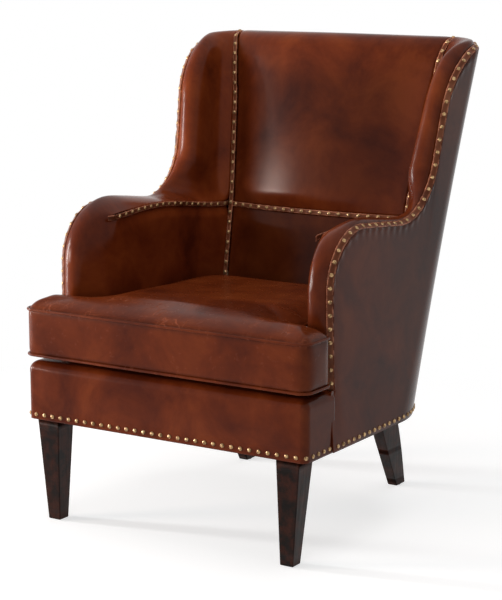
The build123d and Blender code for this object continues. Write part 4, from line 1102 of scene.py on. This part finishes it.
# Legs
def leg(stations, bevel):
    """Square leg drawn up from its foot through stations of across, depth, width, thickness and height."""
    made = bmesh.new()
    bmesh.ops.create_circle(made, segments=4, radius=sqrt(0.5), cap_ends=True,
                            matrix=Matrix.Rotation(pi / 4, 4, "Z"))
    ring = list(made.verts)
    face = made.faces[:][0]

    def lay(verts, across, depth, width, thick, height):
        for vert in verts:
            vert.co = spot(across + width / 2 * (1 if vert.co.x > 0 else -1),
                           depth + thick / 2 * (1 if vert.co.y > 0 else -1), height)

    lay(ring, *stations[0])
    for station in stations[1:]:
        grown = bmesh.ops.extrude_face_region(made, geom=[face])
        ring = [item for item in grown["geom"] if isinstance(item, bmesh.types.BMVert)]
        low = [item for item in grown["geom"] if isinstance(item, bmesh.types.BMFace)]
        centre = sum((vert.co for vert in ring), Vector()) / 4
        for vert in ring:
            vert.co -= centre
        lay(ring, *station)
        face = low[0]
    bmesh.ops.recalc_face_normals(made, faces=made.faces)
    long_edges = [edge for edge in made.edges
                  if abs(edge.verts[0].co.z - edge.verts[1].co.z) > 0.01 and not edge.is_boundary]
    ground = stations[0][4] * MM
    foot = [edge for edge in made.edges if all(abs(vert.co.z - ground) < 1e-5 for vert in edge.verts)]
    bmesh.ops.bevel(made, geom=long_edges + foot, offset=bevel * MM, offset_type="OFFSET", segments=3,
                    profile=0.5, affect="EDGES", material=-1, clamp_overlap=True)
    return made


def smooth_track(knots, count):
    """Values read off a smooth curve through knots, by height."""
    heights = [knot[0] for knot in knots]

    def value(height, column):
        for index in range(len(knots) - 1):
            if heights[index] <= height <= heights[index + 1]:
                break
        before = knots[max(index - 1, 0)]
        start, end = knots[index], knots[index + 1]
        after = knots[min(index + 2, len(knots) - 1)]
        span = end[0] - start[0]
        share = (height - start[0]) / span
        lead = (end[column] - before[column]) / (end[0] - before[0]) * span
        trail = (after[column] - start[column]) / (after[0] - start[0]) * span
        square, cube = share ** 2, share ** 3
        return ((2 * cube - 3 * square + 1) * start[column] + (cube - 2 * square + share) * lead
                + (3 * square - 2 * cube) * end[column] + (cube - square) * trail)

    low, high = heights[0], heights[-1]
    stations = []
    for index in range(count + 1):
        height = mix(low, high, index / count)
        front, rear, across, width = (value(height, column) for column in (1, 2, 3, 4))
        stations.append((across, (front + rear) / 2, width, rear - front, height))
    return stations


def front_leg():
    knots = [(1.5, 15.5, 46.5, 297.5, 31.0), (228.0, 8.0, 64.0, 304.0, 56.0)]
    return leg(smooth_track(knots, 8), 2.2)


def rear_leg():
    knots = [(1.5, 643.3, 683.3, 206.0, 24.0), (86.9, 598.3, 662.3, 206.0, 27.0),
             (151.8, 566.3, 641.3, 206.0, 29.5), (228.0, 545.3, 610.3, 206.0, 32.0)]
    return leg(smooth_track(knots, 20), 2.0)


def for_side(sheet, side):
    """Copy of the right side's sheet for a side of the chair."""
    return mirrored(sheet) if side == "left" else sheet.copy()


def leg_wear(sheet):
    """Marks the rubbed corners of a leg and broad rubbed patches on its faces."""
    sheet.normal_update()
    layer = sheet.verts.layers.float.new("wear")
    for vert in sheet.verts:
        size = max((face.calc_area() for face in vert.link_faces), default=0.0)
        small = min((face.calc_area() for face in vert.link_faces), default=0.0)
        near_edge = 1.0 if small < 0.2 * size else 0.25
        patch = 0.5 + 0.5 * noise.noise(vert.co * 22.0)
        vert[layer] = min(1.0, near_edge * (0.35 + 0.75 * patch))


# Loose cushion
def cushion_plan(inset):
    """T-shaped outline of the cushion."""
    wide, neck = 358.0 - inset, 250.0 - inset
    front, ear, rear = inset - 7.0, 96.0 - inset, 541.8 - inset
    return rounded([(-wide, front), (wide, front), (wide, ear), (neck, ear),
                    (neck, rear), (-neck, rear), (-neck, ear), (-wide, ear)],
                   [25.0, 25.0, 16.0, 9.0, 90.0, 90.0, 9.0, 16.0], step=5.0, closed=True)


def inside_plan(outline, across, depth):
    """Distance from a point to the cushion's outline."""
    nearest = 1e9
    for start, end in zip(outline, outline[1:] + outline[:1]):
        line = end - start
        size = line.length_squared
        reach = (across - start.x) * line.x + (depth - start.y) * line.y
        share = min(max(reach / size, 0), 1) if size else 0.0
        nearest = min(nearest, hypot(across - start.x - line.x * share, depth - start.y - line.y * share))
    return nearest


def draw_in_zip(sheet):
    """Groove in the rear boxing, so that the zip's tape and slider show."""
    middle = (WELT_LOW + WELT_HIGH) / 2
    for vert in sheet.verts:
        depth = vert.co.y / MM + MIDDLE_DEPTH
        if depth > ZIP_DEPTH:
            near = ease((21.0 - abs(vert.co.z / MM - middle)) / 7.0)
            near *= ease((168.0 - abs(vert.co.x / MM)) / 12.0)
            vert.co.y = (mix(depth, ZIP_DEPTH, near) - MIDDLE_DEPTH) * MM


def seat_cushion():
    """Crowned T-shaped cushion, blown up with pressure while its seams are held."""
    outline = cushion_plan(3.0)
    block = bmesh.new()
    corners = [block.verts.new(spot(point.x, point.y, WELT_LOW)) for point in outline]
    base = block.faces.new(corners)
    grown = bmesh.ops.extrude_face_region(block, geom=[base])
    lifted = [item for item in grown["geom"] if isinstance(item, bmesh.types.BMVert)]
    bmesh.ops.translate(block, vec=Vector((0, 0, WELT_HIGH - WELT_LOW)) * MM, verts=lifted)
    bmesh.ops.recalc_face_normals(block, faces=block.faces)
    mesh = bpy.data.meshes.new("cushion_block")
    block.to_mesh(mesh)
    block.free()
    blown = bpy.data.objects.new("seat_cushion", mesh)
    bpy.context.scene.collection.objects.link(blown)
    remesh = blown.modifiers.new("even mesh", "REMESH")
    remesh.mode = "VOXEL"
    remesh.voxel_size = 0.0065
    remesh.use_smooth_shade = True
    graph = bpy.context.evaluated_depsgraph_get()
    even = bpy.data.meshes.new_from_object(blown.evaluated_get(graph))
    blown.modifiers.clear()
    blown.data = even
    held = blown.vertex_groups.new(name="seams")
    rest = []
    for vert in even.vertices:
        across = vert.co.x / MM
        depth = vert.co.y / MM + MIDDLE_DEPTH
        height = vert.co.z / MM
        inner = inside_plan(outline, across, depth)
        seam_gap = min(abs(height - WELT_LOW), abs(height - WELT_HIGH))
        on_seam = inner < 7.0 and seam_gap < 7.0
        held.add([vert.index], 1.0 if on_seam else 0.0, "REPLACE")
        front = 1 - ease((depth - 60.0) / 420.0)
        if height > WELT_HIGH - 4.0:
            crown = mix(16.0, 30.0, front) * (1 - (1 - min(inner / 64.0, 1.0)) ** 2.6)
            vert.co.z += crown * MM
        elif height < WELT_LOW + 4.0:
            vert.co.z -= 11.0 * (1 - (1 - min(inner / 60.0, 1.0)) ** 2.2) * MM
        rest.append(vert.co.copy())
    cloth = blown.modifiers.new("blown up", "CLOTH")
    settings = cloth.settings
    settings.quality = 4
    settings.mass = 0.35
    settings.tension_stiffness = 22.0
    settings.compression_stiffness = 12.0
    settings.bending_stiffness = 0.8
    settings.vertex_group_mass = held.name
    settings.use_pressure = True
    settings.uniform_pressure_force = 4.0
    settings.effector_weights.gravity = 0.0
    cloth.point_cache.frame_start = 1
    cloth.point_cache.frame_end = 20
    for step in range(1, 21):
        bpy.context.scene.frame_set(step)
    graph = bpy.context.evaluated_depsgraph_get()
    swollen = blown.evaluated_get(graph).to_mesh()
    reach = []
    for vert, start in zip(swollen.vertices, rest):
        move = vert.co - start
        cap = 5.0 * MM
        reach.append(start + move * min(1.0, cap / max(move.length, 1e-9)))
    blown.modifiers.clear()
    bpy.context.scene.frame_set(1)
    for vert, place in zip(even.vertices, reach):
        vert.co = place
    sheet = bmesh.new()
    sheet.from_mesh(even)
    soften(sheet, sheet.verts)
    draw_in_zip(sheet)
    top = WELT_HIGH * MM

    def crease(place):
        depth = place.y / MM + MIDDLE_DEPTH
        if place.z < top:
            return 0.0
        return ease(1 - (depth - 10.0) / 120.0) * 0.9 + 0.15 * ease(1 - depth / 420.0)

    # Rubbed front corners near the welts, plus a thin paler band along both welts. The band is a painted
    # highlight on the piping as well as rubbing.
    def wear(place):
        across = place.x / MM
        depth = place.y / MM + MIDDLE_DEPTH
        gap = min(abs(place.z / MM - WELT_HIGH), abs(place.z / MM - WELT_LOW))
        corner = ease(1 - hypot(abs(across) - 350.0, depth + 4.0) / 60.0)
        return 0.35 * ease(1 - gap / 10.0) * corner + 0.12 * ease(1 - gap / 6.0)

    # Painted shade: a dark band along both welts, where the groove under the piping is shaded.
    def shade(place):
        gap = min(abs(place.z / MM - WELT_HIGH), abs(place.z / MM - WELT_LOW))
        return 1.1 * ease(1 - gap / 9.0)

    mark(sheet, "crease", crease)
    mark(sheet, "wear", wear)
    mark(sheet, "shade", shade)
    bpy.data.objects.remove(blown)
    return sheet


def tube(name, points, radius):
    """Round cord mesh along a closed line."""
    curve = bpy.data.curves.new(name, "CURVE")
    curve.dimensions = "3D"
    curve.bevel_depth = radius * MM
    curve.bevel_resolution = 3
    spline = curve.splines.new("POLY")
    spline.points.add(len(points) - 1)
    for target, point in zip(spline.points, points):
        target.co = (*point, 1.0)
    spline.use_cyclic_u = True
    holder = bpy.data.objects.new(name, curve)
    bpy.context.scene.collection.objects.link(holder)
    graph = bpy.context.evaluated_depsgraph_get()
    mesh = bpy.data.meshes.new_from_object(holder.evaluated_get(graph))
    bpy.data.objects.remove(holder)
    sheet = bmesh.new()
    sheet.from_mesh(mesh)
    return sheet


# Build the chair
side_cover = outside_side()
roll = arm_and_wing()
edge_strip, edge_heads = edge_trim()
for side in ("left", "right"):
    finish_piece(f"{side}_outside_leather", for_side(side_cover, side), hide, thick=LEATHER,
                 replaces=[f"{side}_outside_cover"])
    padded_roll = for_side(roll, side)
    # Painted light and shade: the left arm and wing are painted paler and the right ones a little darker.
    mark(padded_roll, "shade", lambda at: -0.45 if at.x < 0 else 0.1)
    finish_piece(f"{side}_arm_and_wing", padded_roll, hide, thick=LEATHER,
                 replaces=[f"{side}_inside_arm_cover", f"{side}_inside_arm_pad",
                           f"{side}_wing_cover", f"{side}_wing_pad"])
    finish_piece(f"{side}_edge_band", for_side(edge_strip, side), trim_hide, thick=1.4,
                 replaces=[f"{side}_edge_trim"])
    finish_piece(f"{side}_edge_nail_heads", for_side(edge_heads, side), nail_finish,
                 replaces=[f"{side}_edge_nails"])
    for made, name in ((front_leg(), "front_leg"), (rear_leg(), "rear_leg")):
        leg_wear(made)
        wooden = finish_piece(f"{side}_{name}_wood", for_side(made, side), leg_finish,
                              replaces=[f"{side}_{name}"])
        even = wooden.modifiers.new("flat faces", "WEIGHTED_NORMAL")
        even.weight = 100
        made.free()
for sheet in (side_cover, roll, edge_strip, edge_heads):
    sheet.free()

finish_piece("outside_back_leather", outside_back(), hide, thick=LEATHER,
             replaces=["outside_back_cover"])
finish_piece("upper_inside_back", upper_back(), hide, thick=LEATHER,
             replaces=["upper_inside_back_cover", "upper_inside_back_pad"])
finish_piece("lower_inside_back", lower_back(), hide, thick=LEATHER,
             replaces=["lower_inside_back_cover", "lower_inside_back_pad"])
finish_piece("front_border", apron(), hide, thick=LEATHER,
             replaces=["apron_cover", "apron_pad"])
finish_piece("seat_deck", seat_deck(), hide, thick=LEATHER,
             replaces=["deck_cover", "deck_pad"])
dust = finish_piece("dust_sheet", dust_sheet(), dust_cloth, thick=0.6,
                    replaces=["dust_cover"])
inside_strip, inside_heads = inside_trim()
finish_piece("inside_bands", inside_strip, trim_hide, thick=1.4,
             replaces=["inside_trim"])
finish_piece("inside_nail_heads", inside_heads, nail_finish, replaces=["inside_nails"])
finish_piece("lower_nail_heads", skirt_nails(), nail_finish, replaces=["skirt_nails"])

finish_piece("seat_cushion", seat_cushion(), creased_hide, body="cushion",
             replaces=["cushion_core", "cushion_panels", "cushion_boxing"], level=1)
for name, height, node in (("top_piping", WELT_HIGH, "cushion_top_welt"),
                           ("bottom_piping", WELT_LOW, "cushion_bottom_welt")):
    line = [spot(point.x, point.y, height) for point in cushion_plan(2.8)]
    finish_piece(name, tube(name, line, 3.1), creased_hide, body="cushion", replaces=[node])

FINISHES = {"frame_wood": frame_finish, "steel": steel, "webbing": strap_cloth, "glide": plastic,
            "zip_tape": tape_cloth, "nail_brass": nail_finish}
slots = {entry["node"]: entry["material_slot"] for entry in frame["record"]["subparts"]}
for name, node in frame["nodes"].items():
    if not node.hide_render:
        node.data.materials.clear()
        node.data.materials.append(FINISHES[slots[name]])


# Floor, light and camera
def white_rays(tree):
    """1 for the rays that see the white background: camera, transmission and glossy rays."""
    path = add(tree, "LightPath")
    seen = add(tree, "Math", operation="ADD", use_clamp=True)
    join(tree, path, "Is Camera Ray", seen, 0)
    join(tree, path, "Is Transmission Ray", seen, 1)
    every = add(tree, "Math", operation="ADD", use_clamp=True)
    join(tree, seen, 0, every, 0)
    join(tree, path, "Is Glossy Ray", every, 1)
    return every


def floor_finish():
    """White floor that keeps the chair's shadow and fades into the white surround."""
    material, tree, shader, place = new_finish("studio_floor")
    shader.inputs["Base Color"].default_value = (0.8, 0.8, 0.8, 1.0)
    shader.inputs["Roughness"].default_value = 0.9
    shader.inputs["Specular IOR Level"].default_value = 0.0
    paper = add(tree, "BsdfDiffuse")
    paper.inputs["Color"].default_value = (0.55, 0.55, 0.55, 1.0)
    glow = add(tree, "Emission", strength=1.0)
    glow.inputs["Color"].default_value = (0.65, 0.65, 0.65, 1.0)
    lit = add(tree, "AddShader")
    join(tree, paper, 0, lit, 0)
    join(tree, glow, 0, lit, 1)
    white = add(tree, "Emission", strength=1.0)
    white.inputs["Color"].default_value = (1, 1, 1, 1)
    far = add(tree, "VectorMath", operation="LENGTH")
    join(tree, place, "Object", far, 0)
    fade = add(tree, "MapRange", interpolation_type="SMOOTHSTEP")
    fade.inputs["From Min"].default_value = 0.7
    fade.inputs["From Max"].default_value = 1.5
    join(tree, far, "Value", fade, "Value")
    shown = add(tree, "MixShader")
    join(tree, fade, "Result", shown, 0)
    join(tree, lit, 0, shown, 1)
    join(tree, white, 0, shown, 2)
    whole = add(tree, "MixShader")
    join(tree, white_rays(tree), 0, whole, 0)
    join(tree, shader, 0, whole, 1)
    join(tree, shown, 0, whole, 2)
    tree.links.new(whole.outputs[0], tree.nodes["Material Output"].inputs["Surface"])
    return material


ground = bmesh.new()
bmesh.ops.create_grid(ground, x_segments=2, y_segments=2, size=9.0)
floor_mesh = bpy.data.meshes.new("studio_floor")
ground.to_mesh(floor_mesh)
ground.free()
floor_mesh.materials.append(floor_finish())
floor = bpy.data.objects.new("studio_floor", floor_mesh)
bpy.context.scene.collection.objects.link(floor)


def softbox(name, place, target, wide, tall, power, in_gloss=True, tint=(1.0, 1.0, 1.0)):
    """Rectangular studio light facing a point, seen or not seen in glossy surfaces."""
    lamp = bpy.data.lights.new(name, "AREA")
    lamp.shape = "RECTANGLE"
    lamp.size = wide
    lamp.size_y = tall
    lamp.energy = power
    lamp.color = tint
    holder = bpy.data.objects.new(name, lamp)
    holder.location = place
    holder.visible_glossy = in_gloss
    holder.rotation_euler = (Vector(target) - Vector(place)).to_track_quat("-Z", "Y").to_euler()
    bpy.context.scene.collection.objects.link(holder)


softbox("key_light", (-2.5, -2.1, 0.9), (0, 0.1, 0.8), 0.7, 0.45, 48.0, tint=(1.0, 0.82, 0.74))
softbox("strip_light", (-3.3, -1.2, 0.8), (0, 0, 0.7), 0.25, 1.6, 120.0)
softbox("top_light", (0.2, 0.2, 3.2), (0, 0, 0.5), 2.4, 2.4, 50.0, in_gloss=False)
softbox("fill_light", (1.4, -4.6, 1.6), (0, 0, 0.5), 2.6, 2.6, 54.0, in_gloss=False)

world = bpy.data.worlds.new("white_studio")
bpy.context.scene.world = world
world.use_nodes = True
sky = world.node_tree
sky.nodes.clear()
shown = add(sky, "Background", strength=1.0)
shown.inputs["Color"].default_value = (1, 1, 1, 1)
light = add(sky, "Background", strength=1.0)
toward = add(sky, "TexCoord")
from_left = add(sky, "VectorMath", operation="DOT_PRODUCT")
from_left.inputs[1].default_value = Vector((-0.66, -0.55, 0.51)).normalized()
join(sky, toward, "Generated", from_left, 0)
room = ramp(sky, (0.0, grey(0.04)), (0.5, grey(0.06)), (1.0, grey(0.14)))
span = add(sky, "MapRange")
span.inputs["From Min"].default_value = -1.0
join(sky, from_left, "Value", span, "Value")
join(sky, span, "Result", room, "Fac")
join(sky, room, "Color", light, "Color")
choose = add(sky, "MixShader")
surround = add(sky, "OutputWorld")
join(sky, white_rays(sky), 0, choose, 0)
join(sky, light, 0, choose, 1)
join(sky, shown, 0, choose, 2)
join(sky, choose, 0, surround, "Surface")

lens = bpy.data.cameras.new("photo_camera")
lens.lens = 113.77
lens.sensor_width = 36.0
camera = bpy.data.objects.new("photo_camera", lens)
camera.location = (2.2026, -3.5219, 1.2626)
aim = Vector((0.03325, -0.089, 0.47906)) - camera.location
camera.rotation_euler = aim.to_track_quat("-Z", "Y").to_euler()
bpy.context.scene.collection.objects.link(camera)
bpy.context.scene.camera = camera
bpy.context.scene.view_settings.view_transform = "Standard"
